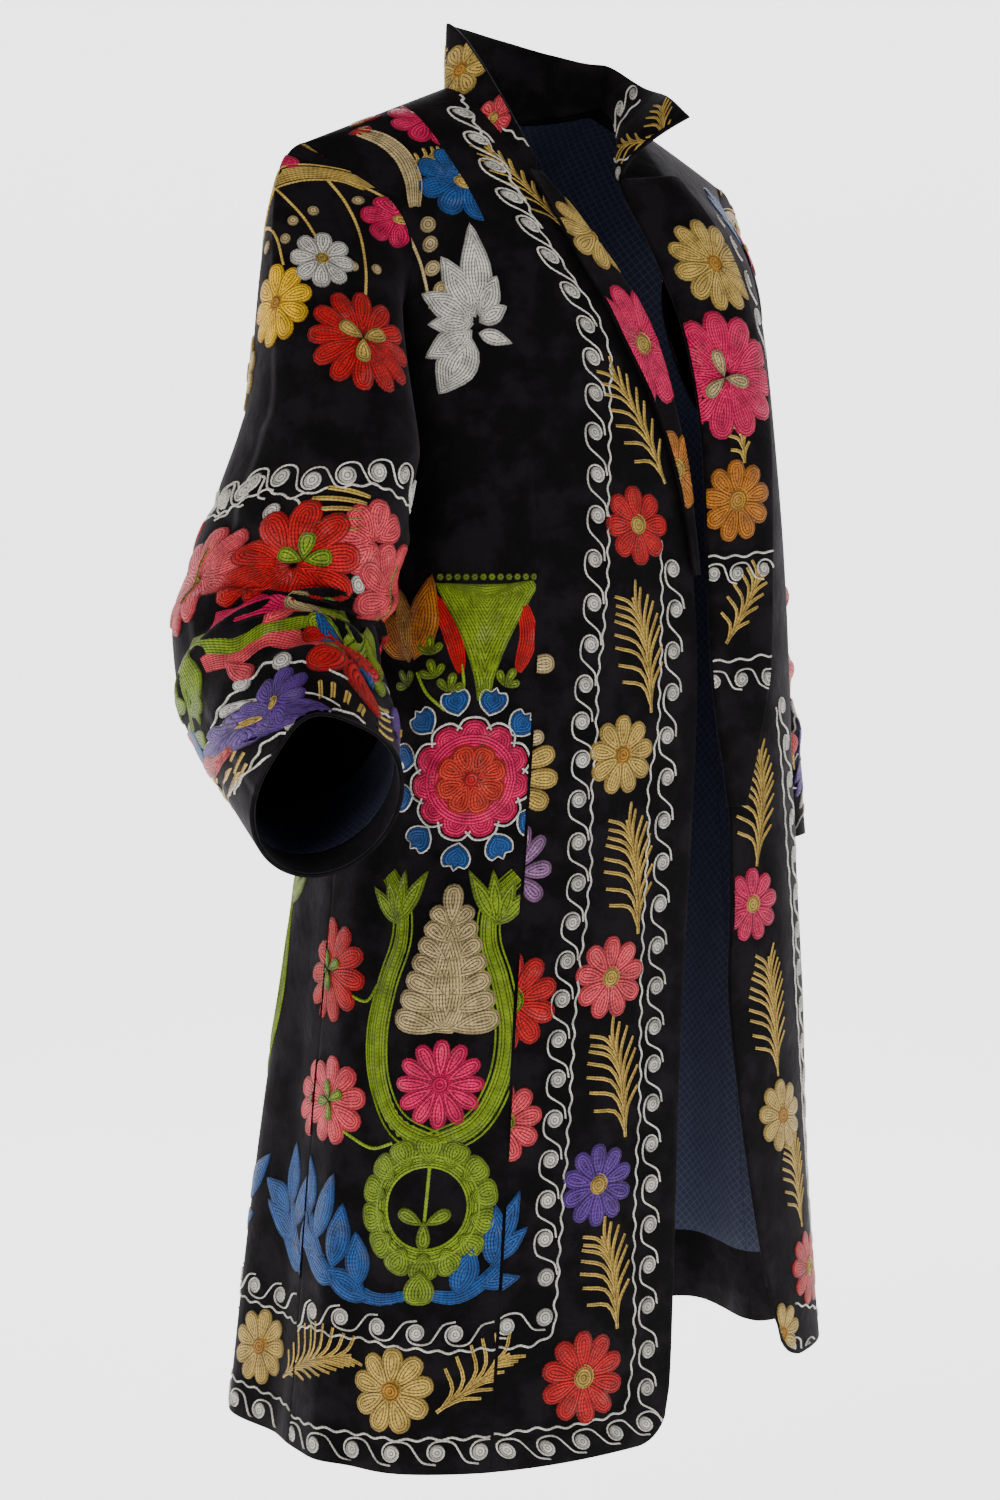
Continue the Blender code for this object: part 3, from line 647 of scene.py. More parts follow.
@dataclass
class Back:
    """The back of the coat, in one piece from side seam to side seam."""

    outer_columns: int = 40
    neck_columns: int = 24
    arm_dip: float = 27.0
    neck_turn: float = 21.2
    neck_drop: float = 0.012

    def cloth(self) -> Cloth:
        """The back as one cloth, from the wearer's left to the right."""
        body = BODY_SURFACE
        down = refined(HEIGHTS, ROWS_EACH)[:, None]
        outer = 90.0 + arm_bow(down, self.arm_dip)
        to_neck = np.linspace(0.0, 1.0, self.outer_columns + 1)[None, :]
        left = outer + (180.0 - self.neck_turn - outer) * to_neck
        neck = np.linspace(180.0 - self.neck_turn, 180.0 + self.neck_turn, self.neck_columns + 1)
        middle = np.broadcast_to(neck[None, 1:-1], (len(down), self.neck_columns - 1))
        turn = np.concatenate([left, middle, 360.0 - left[:, ::-1]], axis=1)
        x_share = np.clip(np.abs(turn - 180.0) / self.neck_turn, 0.0, 1.0)
        down = down + self.neck_drop * (1 - x_share**2) * (1 - down / HEM)
        guide = self.outer_columns + self.neck_columns // 2
        return Cloth(body.point(False, down, turn), body.normal(False, down, turn), guide, 1.0, LEVEL_ROW)


@dataclass
class Collar:
    """A standing collar on the neckline's own points, whose left wing leans out."""

    rows: int = 18
    thickness: float = 0.0026
    sunk: float = 0.0009

    def cloth(self, right: Cloth, back: Cloth, left: Cloth, shape: Back) -> Cloth:
        """The collar as one cloth, from the right front round the back.

        Args:
            right: The whole right front.
            back: The back.
            left: The whole left front.
            shape: The back's own sizes, for where its neck starts.

        Returns:
            The collar's outer face, its base in the last row.
        """
        end = COLLAR_ENDS_ROW * ROWS_EACH
        first = shape.outer_columns
        last = first + shape.neck_columns
        neck = back.points[0, first : last + 1][::-1]
        base = np.concatenate([right.points[end::-1, 0], neck[1:-1], left.points[: end + 1, 0]])
        base = base - np.array([0.0, 0.0, self.sunk])
        lengths = np.linalg.norm(np.diff(base, axis=0), axis=1)
        along = np.concatenate([[0.0], np.cumsum(lengths)]) / lengths.sum()
        rise = curve(COLLAR, "along", "rise")(along)
        lean = curve(COLLAR, "along", "lean")(along)
        out = unit(base * np.array([1.0, 1.0, 0.0]))
        share = np.linspace(1.0, 0.0, self.rows + 1)[:, None, None]
        up = np.array([0.0, 0.0, 1.0])
        points = base + up * rise[:, None] * share + out * lean[:, None] * share**2
        normals = unit(np.cross(np.gradient(points, axis=0), np.gradient(points, axis=1)))
        normals = normals * np.sign(np.sum(normals * out, axis=-1).mean())
        return Cloth(points, normals, 0, 1.0, self.rows)


@dataclass
class Lapel:
    """A front folded back on itself: a roll round the edge, then a band that lies on the front."""

    side: int
    rows: Sequence[FrontRow]
    table: Sequence[LapelRow]
    roll: float = 0.0018
    thickness: float = 0.0022
    roll_steps: int = 8
    flat_steps: int = 18

    def cloth(self) -> Cloth:
        """The lapel's face, from the inside of the roll to the free edge."""
        body = BODY_SURFACE
        fine = refined(HEIGHTS, ROWS_EACH)
        inside = (fine >= self.table[0].down - 1e-9) & (fine <= self.table[-1].down + 1e-9)
        down = fine[inside][:, None]
        edge = body.turn_of(curve(self.rows, "down", "edge_x")(down), down)
        point = body.point(True, down, edge)
        normal = body.normal(True, down, edge)
        towards = body.point(True, down, edge + self.side) - point
        per_degree = np.linalg.norm(towards, axis=-1)
        towards = unit(towards)
        width = curve(self.table, "down", "width")(down)
        lift = curve(self.table, "down", "lift")(down)
        radius = self.roll + self.thickness
        start = point - towards * SEAM_GAP
        face = []
        ways = []
        for angle in np.linspace(0.0, np.pi, self.roll_steps + 1):
            way = -towards * np.sin(angle) - normal * np.cos(angle)
            face.append(start + way * radius + normal * self.roll)
            ways.append(way)
        for share in np.linspace(0.0, 1.0, self.flat_steps + 1)[1:]:
            turn = edge + self.side * width * share / per_degree
            out = body.normal(True, down, turn)
            away = (2 * self.roll + lift * share**2 + self.thickness)[..., None]
            face.append(body.point(True, down, turn) + out * away)
            ways.append(out)
        points = np.concatenate(face, axis=1)
        return Cloth(points, np.concatenate(ways, axis=1), self.roll_steps // 2, self.side, 0)


@dataclass
class Sleeve:
    """A sleeve: a head that leaves the armhole, and an arm of bunched velvet."""

    side: int
    rows: Sequence[ArmRow]
    folds: Sequence[SleeveFold]
    front: Front
    back: Back
    each: int = 5
    head_rings: int = 30
    arm_rings: int = 150
    cap_reach: float = 0.154
    arm_reach: float = 0.13
    underarm_reach: float = 0.045
    dip_top: float = 12.0
    dip_underarm: float = 50.0
    notch: float = 0.24
    notch_around: float = 62.0
    notch_spread: float = 26.0
    arm_step: float = 0.02
    seam_rings: int = 8

    def armhole(self) -> tuple[Array, Array]:
        """The armhole's points and normals, from its top down the front and up the back."""
        body = BODY_SURFACE
        heights = refined(ARMHOLE_HEIGHTS, self.each)
        behind = 90.0 + arm_bow(heights, self.back.arm_dip)
        loops = []
        for front, outer, inwards in ((True, self.front.outer(heights), -2.0), (False, behind, 2.0)):
            turn = self.side * outer
            points = body.point(front, heights, turn)
            normals = body.normal(front, heights, turn)
            inside = body.point(front, heights, turn + self.side * inwards)
            loops.append((points, normals, unit(points - inside)))
        joined = []
        for fore, aft in zip(*loops):
            top = (fore[:1] + aft[:1]) / 2
            bottom = (fore[-1:] + aft[-1:]) / 2
            joined.append(np.concatenate([top, fore[1:-1], bottom, aft[-2:0:-1]]))
        points, normals, outwards = joined
        return points + unit(outwards) * SEAM_GAP, unit(normals)

    def sections(self, along: Array) -> tuple[Array, Array, Array, Array]:
        """The middle of each section, the way down the arm, and the section's two half axes."""

        def middle(s: Array) -> Array:
            """The sleeve's middle line."""
            return stack(*(curve(self.rows, "along", axis)(s) for axis in "xyz"))

        way = unit(middle(along + self.arm_step) - middle(along - self.arm_step))
        lateral = np.array([self.side, 0.0, 0.0])
        across = unit(lateral - np.sum(way * lateral, axis=-1, keepdims=True) * way)
        fore = self.side * np.cross(way, across)
        turn = np.radians(curve(self.rows, "along", "turn")(along))[..., None] * self.side
        axis_a = across * np.cos(turn) - self.side * fore * np.sin(turn)
        axis_b = self.side * across * np.sin(turn) + fore * np.cos(turn)
        size_a = curve(self.rows, "along", "across")(along)[..., None]
        size_b = curve(self.rows, "along", "fore")(along)[..., None]
        return middle(along), way, axis_a * size_a, axis_b * size_b

    def arm_point(self, along: Array, around: Array) -> Array:
        """A point of the arm. Around is 0 outside, 90 in front and 180 at the body."""
        if self.side < 0:
            away = (around - self.notch_around + 180.0) % 360.0 - 180.0
            notch = self.notch * np.exp(-((away / self.notch_spread) ** 2))
            along = along - notch * ease(along - (len(self.rows) - 2.0))
        centre, _, axis_a, axis_b = self.sections(along)
        angle = np.radians(around)[..., None]
        radial = axis_a * np.cos(angle) + axis_b * np.sin(angle)
        height = np.zeros(np.broadcast(along, around).shape)
        for fold in self.folds:
            away = (around - fold.around + 180.0) % 360.0 - 180.0
            line = fold.along + fold.slant * np.sin(np.radians(away))
            bump = np.exp(-(((along - line) / fold.length) ** 2))
            height = height + fold.height * bump * np.exp(-((away / fold.spread) ** 2))
        return centre + radial + unit(radial) * height[..., None]

    def cloth(self) -> Cloth:
        """The whole sleeve as one closed cloth, from the armhole to the cuff."""
        start, seam_normals = self.armhole()
        columns = len(start)
        around = np.arange(columns) * 360.0 / columns
        arm = np.linspace(0.0, len(self.rows) - 1.0, self.arm_rings + 1)[:, None]
        lower = self.arm_point(*np.broadcast_arrays(arm, around[None, :]))
        way = self.sections(np.zeros(1))[1]
        share = (1 - np.cos(np.radians(around))) / 2
        dip = np.radians(self.dip_top + (self.dip_underarm - self.dip_top) * share)[:, None]
        reach = (self.cap_reach + (self.underarm_reach - self.cap_reach) * share)[:, None]
        sideways = np.array([self.side, 0.0, 0.0])
        leave = (sideways * np.cos(dip) - np.array([0.0, 0.0, 1.0]) * np.sin(dip)) * reach
        arrive = way * (self.arm_reach + (self.underarm_reach - self.arm_reach) * share)[:, None]
        head = []
        for t in np.linspace(0.0, 1.0, self.head_rings + 1)[:-1]:
            place = start * (2 * t**3 - 3 * t**2 + 1) + lower[0] * (3 * t**2 - 2 * t**3)
            head.append(place + leave * (t**3 - 2 * t**2 + t) + arrive * (t**3 - t**2))
        points = np.concatenate([np.array(head), lower])
        wrapped = np.concatenate([points[:, -1:], points, points[:, :1]], axis=1)
        normals = np.cross(np.gradient(points, axis=0), wrapped[:, 2:] - wrapped[:, :-2])
        normals = unit(normals) * -self.side
        for ring in range(self.seam_rings):
            share = ease(np.array(ring / self.seam_rings))
            normals[ring] = unit(seam_normals * (1 - share) + normals[ring] * share)
        points = np.concatenate([points, points[:, :1]], axis=1)
        normals = np.concatenate([normals, normals[:, :1]], axis=1)
        return Cloth(points, normals, 0, 1.0, 0, closed=True)


# Silk threads and the chain stitch


class Thread(Enum):
    """The silks, as linear colours."""

    CREAM = (0.50, 0.48, 0.43)
    GOLD = (0.420, 0.275, 0.055)
    AMBER = (0.380, 0.180, 0.020)
    TAN = (0.400, 0.300, 0.140)
    RED = (0.380, 0.0020, 0.0040)
    SCARLET = (0.420, 0.0200, 0.0100)
    MAGENTA = (0.520, 0.0005, 0.0650)
    CORAL = (0.560, 0.0420, 0.0600)
    BLUE = (0.0060, 0.0560, 0.2100)
    PURPLE = (0.0720, 0.0200, 0.1900)
    LILAC = (0.2100, 0.0950, 0.2100)
    GREEN = (0.1400, 0.2100, 0.0050)
    ORANGE = (0.3800, 0.1250, 0.0080)
    YELLOW = (0.7200, 0.4000, 0.0010)


CREAM, GOLD, AMBER, TAN, RED, SCARLET, MAGENTA, CORAL, BLUE, PURPLE, LILAC, GREEN, ORANGE, YELLOW = Thread


class Shape(Enum):
    """The unit patches: steps along, and steps across."""

    LINE = (16, 2)
    SHORT = (6, 2)
    CURL = (34, 2)
    FILL = (18, 3)
    BROAD = (30, 4)


Line = Sequence[tuple[float, float]]
STITCH_ROW = 2.2  # millimetres across one row of chain stitch
FIRST_ROW = 5  # the row that a cord counts its stitches from, past the painted shade at a filled form's rim
TAPER = 5.0  # how fast a cord reaches its full width
TUCK = -0.25  # millimetres by which a patch's rim lies in the nap
RINGS = {Shape.FILL: (0.0, 0.16, 0.55, 1.0), Shape.BROAD: (0.0, 0.12, 0.40, 0.72, 1.0)}
CURL = 13.5  # a scroll's width in millimetres
PITCH = 29.0  # millimetres from one curl of a scroll to the next


def far_along(points: Array) -> Array:
    """How far along a run each of its points is."""
    return np.concatenate([[0.0], np.cumsum(np.linalg.norm(np.diff(points, axis=0), axis=1))])


def leftwards(line: Array) -> Array:
    """The way to the left of a run at each of its points."""
    way = unit(np.gradient(line, axis=0))
    return np.stack([-way[:, 1], way[:, 0]], axis=1)


def tapered(share: Array, ends: tuple[float, float]) -> Array:
    """The share of a row's full width along it, from its shares at the two ends."""
    return 1 - (1 - ends[0]) * np.exp(-share * TAPER) - (1 - ends[1]) * np.exp(-(1 - share) * TAPER)


def smooth_line(points: Line, count: int) -> Array:
    """A smooth run through a few points.

    Args:
        points: The points.
        count: How many points the run has.

    Returns:
        The run, evenly spread along its length.
    """
    knots = np.array(points, dtype=float)
    if len(knots) < 3:
        share = np.linspace(0.0, 1.0, count)[:, None]
        return knots[0] * (1 - share) + knots[-1] * share
    lengths = np.linalg.norm(np.diff(knots, axis=0), axis=1)
    at = np.concatenate([[0.0], np.cumsum(np.maximum(lengths, TINY))])
    slopes = np.gradient(knots, at, axis=0)
    s = np.linspace(0.0, at[-1], max(count * 3, 30))
    k = np.clip(np.searchsorted(at, s) - 1, 0, len(at) - 2)
    width = (at[k + 1] - at[k])[:, None]
    t = (s - at[k])[:, None] / width
    run = knots[k] * (2 * t**3 - 3 * t**2 + 1) + knots[k + 1] * (3 * t**2 - 2 * t**3)
    run = run + width * (slopes[k] * (t**3 - 2 * t**2 + t) + slopes[k + 1] * (t**3 - t**2))
    far = far_along(run)
    even = np.linspace(0.0, far[-1], count)
    return np.stack([np.interp(even, far, run[:, 0]), np.interp(even, far, run[:, 1])], axis=1)


@dataclass(frozen=True)
class Spot:
    """A place on a cloth in millimetres: where a motif stands, its turn in degrees, and its stretch."""

    a: float
    b: float
    turn: float = 0.0
    wide: float = 1.0
    tall: float = 1.0

    def put(self, points: Array) -> Array:
        """Points of the motif, in millimetres about its middle, on the cloth in metres."""
        angle = math.radians(self.turn)
        x = points[..., 0] * self.wide
        y = points[..., 1] * self.tall
        a = x * math.cos(angle) - y * math.sin(angle)
        b = x * math.sin(angle) + y * math.cos(angle)
        return np.stack([self.a + a, self.b + b], axis=-1) * MM


ORIGIN = Spot(0.0, 0.0)


@dataclass
class Needlework:
    """The chain stitch on one cloth. Patches are drawn flat, cut at the cloth's edges and laid on it."""

    name: str
    cloth: Cloth
    places: list[Array] = field(default_factory=list)
    stitches: list[Array] = field(default_factory=list)
    colours: list[Array] = field(default_factory=list)
    kinds: list[Shape] = field(default_factory=list)
    layer: float = 0.0  # millimetres by which the next motif lies over the earlier ones
    trim: float = 0.3  # grid steps left free at the cloth's top and sides
    hem_trim: float = 0.2

    def add(self, kind: Shape, flat: Array, height: Array, stitch: Array, thread: Thread) -> None:
        """Keeps one patch.

        Args:
            kind: Its unit patch.
            flat: Flat places, a row for each step across and a column for each step along.
            height: Heights above the cloth.
            stitch: Distances along and across the rows of stitches.
            thread: Its silk.
        """
        flat = flat.reshape(-1, 2)
        height = height.reshape(-1, 1)
        self.places.append(np.concatenate([flat, height], axis=1))
        self.stitches.append(stitch.reshape(-1, 2))
        self.colours.append(np.tile(np.array(thread.value), (len(flat), 1)))
        self.kinds.append(kind)

    def cord(
        self,
        spot: Spot,
        points: Line,
        width: float,
        thread: Thread,
        kind: Shape = Shape.LINE,
        taper: tuple[float, float] = (1.0, 1.0),
        high: float = 0.9,
        base: float = 0.0,
    ) -> None:
        """A row or two of chain stitch along a line.

        Args:
            spot: Where the motif stands.
            points: The line, in millimetres about the spot.
            width: The row's width in millimetres.
            thread: Its silk.
            kind: The unit patch.
            taper: Shares of the width at its two ends.
            high: How far its ridge stands up, in millimetres.
            base: How far it is laid over what is under it.
        """
        steps, across = kind.value
        line = smooth_line(points, steps + 1)
        share = np.linspace(0.0, 1.0, steps + 1)
        t = np.linspace(-1.0, 1.0, across + 1)[:, None]
        flat = line[None] + leftwards(line)[None] * (t * (width / 2 * tapered(share, taper))[None])[..., None]
        ridge = np.sqrt(np.maximum(1 - t**2, 0.0)) * np.ones_like(share)[None]
        height = np.where(ridge > 0.01, base + self.layer + high * ridge, TUCK) * MM
        along = np.broadcast_to(far_along(line)[None] * MM, height.shape)
        rows = max(round(width / STITCH_ROW), 1)
        over = np.broadcast_to((FIRST_ROW + (t + 1) / 2 * rows) * STITCH_ROW * MM, height.shape)
        self.add(kind, spot.put(flat), height, np.stack([along, over], axis=-1), thread)

    def fill(
        self,
        spot: Spot,
        outline: Line,
        thread: Thread,
        spine: Line = ((0.0, 0.0),),
        kind: Shape = Shape.FILL,
        high: float = 1.1,
        base: float = 0.0,
    ) -> None:
        """A form filled with rows that follow its outline in to a spine.

        Args:
            spot: Where the motif stands.
            outline: The closed outline, in millimetres about the spot.
            thread: Its silk.
            spine: The line or point that the rows close on.
            kind: The unit patch.
            high: How far it stands up, in millimetres.
            base: How far it is laid over what is under it.
        """
        steps, rings = kind.value
        edge = smooth_line([*outline, outline[0]], steps + 1)
        edge[-1] = edge[0]
        if len(spine) == 1:
            core = np.tile(np.array(spine[0], dtype=float), (steps + 1, 1))
        else:
            ends = np.array(spine, dtype=float)
            way = ends[-1] - ends[0]
            share = np.clip((edge - ends[0]) @ way / max(way @ way, TINY), 0.0, 1.0)
            core = ends[0] + way * share[:, None]
        t = np.array(RINGS[kind])[:, None]
        flat = edge[None] * (1 - t[..., None]) + core[None] * t[..., None]
        rise = base + self.layer + high * np.array([0.0, 0.78, 1.0, 0.92, 0.9])[: rings + 1][:, None]
        rise[0] = TUCK
        height = rise * np.ones(steps + 1)[None] * MM
        reach = np.linalg.norm(edge - core, axis=1)[None]
        along = np.broadcast_to(far_along(edge)[None] * MM, height.shape)
        self.add(kind, spot.put(flat), height, np.stack([along, t * reach * MM], axis=-1), thread)

    def sewn(self) -> bpy.types.Object:
        """The needlework as one piece on its cloth.

        Returns:
            The piece.
        """
        units: dict[Shape, bpy.types.Mesh] = {}
        orders: dict[Shape, Array] = {}
        for kind in set(self.kinds):
            steps, across = kind.value
            mesh, row, column = grid_mesh(f"{self.name}_{kind.name.lower()}", (across + 1, steps + 1))
            units[kind] = mesh
            orders[kind] = row * (steps + 1) + column
        bm = bmesh.new()
        for kind in self.kinds:
            bm.from_mesh(units[kind])
        mesh = bpy.data.meshes.new(self.name)
        bm.to_mesh(mesh)
        bm.free()
        for unit_mesh in units.values():
            bpy.data.meshes.remove(unit_mesh)
        place, stitch, colour = (
            np.concatenate([rows[orders[kind]] for rows, kind in zip(patches, self.kinds)])
            for patches in (self.places, self.stitches, self.colours)
        )
        i, j = self.cloth.find(place[:, 0], place[:, 1])
        co = np.stack([j, -i, place[:, 2]], axis=-1)
        mesh.vertices.foreach_set("co", co.ravel())
        map_flat(mesh, "stitch", stitch)
        silk = mesh.color_attributes.new(name="silk", type="FLOAT_COLOR", domain="POINT")
        silk.data.foreach_set("color", np.concatenate([colour, np.ones((len(colour), 1))], axis=1).ravel())
        self.cut(mesh)
        co = coords(mesh)
        j = co[:, 0]
        if self.cloth.closed:
            j = np.mod(j, self.cloth.points.shape[1] - 1)
        laid = self.cloth.lay(-co[:, 1], j, co[:, 2])
        mesh.vertices.foreach_set("co", laid.ravel())
        mesh.shade_smooth()
        mesh.update()
        return placed(self.name, mesh)

    def cut(self, mesh: bpy.types.Mesh) -> None:
        """Cuts the flat patches at the cloth's edges, as the tailor's shears did, and faces them out."""
        rows, columns = self.cloth.points.shape[:2]
        bm = bmesh.new()
        bm.from_mesh(mesh)
        low, far = self.trim, columns - 1 - self.trim
        edges = [((0, -low, 0), (0, 1, 0)), ((0, -(rows - 1 - self.hem_trim), 0), (0, -1, 0))]
        if not self.cloth.closed:
            edges += [((low, 0, 0), (-1, 0, 0)), ((far, 0, 0), (1, 0, 0))]
        for place, outwards in edges:
            geom = bm.verts[:] + bm.edges[:] + bm.faces[:]
            bmesh.ops.bisect_plane(
                bm, geom=geom, dist=1e-6, plane_co=place, plane_no=outwards, clear_outer=True
            )
        bmesh.ops.remove_doubles(bm, verts=bm.verts[:], dist=2e-5)
        bm.normal_update()
        way = self.cloth.handed()
        bmesh.ops.reverse_faces(bm, faces=[face for face in bm.faces if face.normal.z * way < 0])
        bm.to_mesh(mesh)
        bm.free()


# Motifs


def disc(size: float, count: int = 14) -> Line:
    """A round outline."""
    angles = np.linspace(0.0, 2 * np.pi, count, endpoint=False)
    return [(size / 2 * math.cos(t), size / 2 * math.sin(t)) for t in angles]


def petal_outline(length: float, width: float, start: float = 0.0) -> Line:
    """A petal that points up from its foot, round at its tip."""
    half = ((0.22, 0.18), (0.46, 0.52), (0.47, 0.78), (0.28, 0.96))
    left = [(-width * x, start + length * y) for x, y in half]
    right = [(width * x, start + length * y) for x, y in half[::-1]]
    return [(0.0, start), *left, (0.0, start + length), *right]


def shifted(points: Line, a: float, b: float = 0.0) -> Line:
    """The same points moved across and up."""
    return [(x + a, y + b) for x, y in points]


def turned(points: Line, angle: float) -> Line:
    """The same points turned anticlockwise about the middle, by degrees."""
    c = math.cos(math.radians(angle))
    s = math.sin(math.radians(angle))
    return [(x * c - y * s, x * s + y * c) for x, y in points]


def around(a: float, b: float, reach: float, count: int) -> Line:
    """Points spread evenly round a middle, the first above it."""
    step = round(2 * math.pi / count, 3)
    return [(a + reach * math.sin(k * step), b + reach * math.cos(k * step)) for k in range(count)]


def spiral(radius: float, turns: float, start: float, inner: float = 0.6) -> Line:
    """A spiral that opens from its middle.

    Args:
        radius: Where it ends.
        turns: How many times it goes round, less than nothing for clockwise.
        start: The angle of its outer end, in degrees.
        inner: Where it starts.

    Returns:
        The line, from its middle out.
    """
    count = 40
    line = []
    for k in range(count):
        share = k / (count - 1)
        angle = math.radians(start) - (1 - share) * turns * 2 * math.pi
        reach = inner + (radius - inner) * share
        line.append((reach * math.cos(angle), reach * math.sin(angle)))
    return line


@dataclass
class Pattern:
    """The motifs that the needle draws, in millimetres about a spot."""

    work: Needlework

    def coin(self, spot: Spot, size: float, thread: Thread, base: float = 0.5) -> None:
        """A small round of thread wound from its middle."""
        self.work.fill(spot, disc(size), thread, high=0.9, base=base)

    def flower(
        self,
        spot: Spot,
        size: float,
        petals: int,
        thread: Thread,
        heart: Thread | None = GOLD,
        heart_share: float = 0.26,
        first: float = 90.0,
        slim: float = 0.82,
        outline: Thread | None = None,
    ) -> None:
        """A round flower of filled petals about a wound heart.

        Args:
            spot: Its middle.
            size: Its width.
            petals: How many petals it has.
            thread: Their silk.
            heart: The heart's silk, or None.
            heart_share: The heart's share of the width.
            first: The angle of the first petal, in degrees.
            slim: Below 1, the petals stand apart.
            outline: A second silk round each petal's tip, or None.
        """
        reach = size / 2
        step = 360.0 / petals
        width = 2 * reach * math.sin(math.radians(min(step, 80.0) / 2)) * 0.98 * slim
        for k in range(petals):
            angle = first + step * k - 90.0
            shape = turned(petal_outline(reach * 0.97, width, reach * 0.03), angle)
            spine = turned([(0.0, reach * 0.10), (0.0, reach * 0.80)], angle)
            self.work.fill(spot, shape, thread, spine)
            if outline:
                tip = turned(petal_outline(reach, width * 1.1, reach * 0.03)[3:8], angle)
                self.work.cord(spot, tip, 2.0, outline, high=1.3)
        if heart:
            self.coin(spot, size * heart_share, heart, base=0.6)
            loop = spiral(size * heart_share / 2 * 1.05, 1.6, first)
            self.work.cord(spot, loop, 1.5, heart, Shape.CURL, high=0.8, base=1.2)

    def spray(
        self,
        spot: Spot,
        length: float,
        leaves: int,
        thread: Thread = GOLD,
        bend: float = 10.0,
        reach: float = 30.0,
        lean: tuple[float, float] = (52.0, 24.0),
        width: float = 3.5,
    ) -> None:
        """A feather of narrow leaves on a bent stem, which grows up from its foot.

        Args:
            spot: Its foot.
            length: The stem's length.
            leaves: How many leaves it has on each side.
            thread: Its silk.
            bend: How far the stem's middle bows to the right.
            reach: The longest leaf.
            lean: The angles of the leaves to the stem, on the left and the right.
            width: A leaf's width.
        """
        stem = [(0.0, 0.0), (bend * 0.6, length * 0.33), (bend, length * 0.66), (bend * 0.8, length)]
        self.work.cord(spot, stem, width, thread, high=1.0)
        run = smooth_line(stem, 40)
        for k in range(leaves):
            share = 0.06 + 0.80 * k / max(leaves - 1, 1)
            n = int(share * 39)
            foot = run[n]
            way = run[min(n + 1, 39)] - run[max(n - 1, 0)]
            heading = math.atan2(way[1], way[0])
            size = reach * (0.62 + 0.38 * math.sin(math.pi * min(share * 1.1 + 0.12, 1.0)))
            for side, angle in ((1, lean[0]), (-1, lean[1])):
                tip = heading + side * math.radians(angle * (1 - 0.30 * share))
                bow = heading + side * math.radians(angle * 0.45)
                mid = foot + size * 0.5 * np.array([math.cos(bow), math.sin(bow)])
                end = foot + size * np.array([math.cos(tip), math.sin(tip)])
                self.work.cord(spot, [foot, mid, end], width, thread, Shape.SHORT, (0.7, 0.75))

    def scroll(self, spot: Spot, size: float, reach: Line, side: float) -> None:
        """A curl wound to a solid round, with a tail that runs on to the next curl.

        Args:
            spot: The round's middle.
            size: Its width.
            reach: The tail after it leaves the round.
            side: 1 or -1, the way it winds.
        """
        self.coin(spot, size * 0.86, CREAM, base=0.0)
        start = math.degrees(math.atan2(reach[0][1], reach[0][0]))
        ring = spiral(size * 0.56, 1.35 * side, start, size * 0.2)
        self.work.cord(spot, [*ring, *reach[1:]], 1.7, CREAM, Shape.CURL, high=1.1, base=0.2)

    def scrolls(self, centres: Line, side: float, size: float = CURL, end: bool = True) -> None:
        """A running scroll through the middles of its curls.

        Args:
            centres: The middles, in millimetres on the cloth.
            side: 1 where the tails start to the right of the run, -1 to the left.
            size: A curl's width in millimetres.
            end: Whether the last curl has a tail too.
        """
        for k, (a, b) in enumerate(centres):
            last = k == len(centres) - 1
            if last and not end:
                self.coin(Spot(a, b), size, CREAM, base=0.1)
                continue
            nxt = centres[k + 1] if not last else (2 * a - centres[k - 1][0], 2 * b - centres[k - 1][1])
            gap = np.array([nxt[0] - a, nxt[1] - b])
            pitch = float(np.linalg.norm(gap))
            ahead = gap / pitch
            right = np.array([ahead[1], -ahead[0]]) * side
            r = size * 0.56
            tail = [
                tuple(right * r - ahead * r * 0.1),
                tuple(right * r * 0.80 + ahead * pitch * 0.38),
                tuple(ahead * pitch * 0.52),
                tuple(-right * r * 0.85 + ahead * pitch * 0.68),
                tuple(-right * r * 1.15 + ahead * pitch * 0.98),
            ]
            self.scroll(Spot(a, b), size, tail, side)

    def ripple(self, line: Line, pitch: float = 15.0, swing: float = 1.0, width: float = 2.1) -> None:
        """A wavy white line of chain stitch.

        Args:
            line: The run, in millimetres on the cloth.
            pitch: A wave's length in millimetres.
            swing: How far it goes to each side.
            width: The row's width.
        """
        points = np.array(line, dtype=float)
        length = float(np.linalg.norm(np.diff(points, axis=0), axis=1).sum())
        waves = max(int(length / pitch), 1)
        run = smooth_line(points, waves * 8 + 1)
        phase = np.linspace(0.0, waves * 2 * np.pi, len(run))
        wobble = swing * (np.sin(phase) + 0.35 * np.sin(phase * 0.37 + 1.0))
        run = run + leftwards(run) * wobble[:, None]
        for first in range(0, len(run) - 1, 14):
            self.work.cord(ORIGIN, run[first : first + 15], width, CREAM, high=1.0)

    def band(self, spot: Spot, line: Line, width: float, thread: Thread, taper: tuple[float, float]) -> None:
        """A crescent: a filled band with a row of chain stitch along each edge."""
        self.work.cord(spot, line, width, thread, Shape.CURL, taper, high=1.0)
        run = smooth_line(line, 24)
        bell = tapered(np.linspace(0.0, 1.0, len(run)), taper)
        for way_out in (-0.5, 0.5):
            edge = run + leftwards(run) * (width * way_out * bell)[:, None]
            self.work.cord(spot, edge, 2.0, thread, Shape.CURL, taper, high=1.2)

    def petal(self, spot: Spot, length: float, width: float, thread: Thread, base: float = 0.0) -> None:
        """One petal from its foot, with a spine up its middle."""
        spine = [(0.0, length * 0.15), (0.0, length * 0.78)]
        self.work.fill(spot, petal_outline(length, width), thread, spine, base=base)

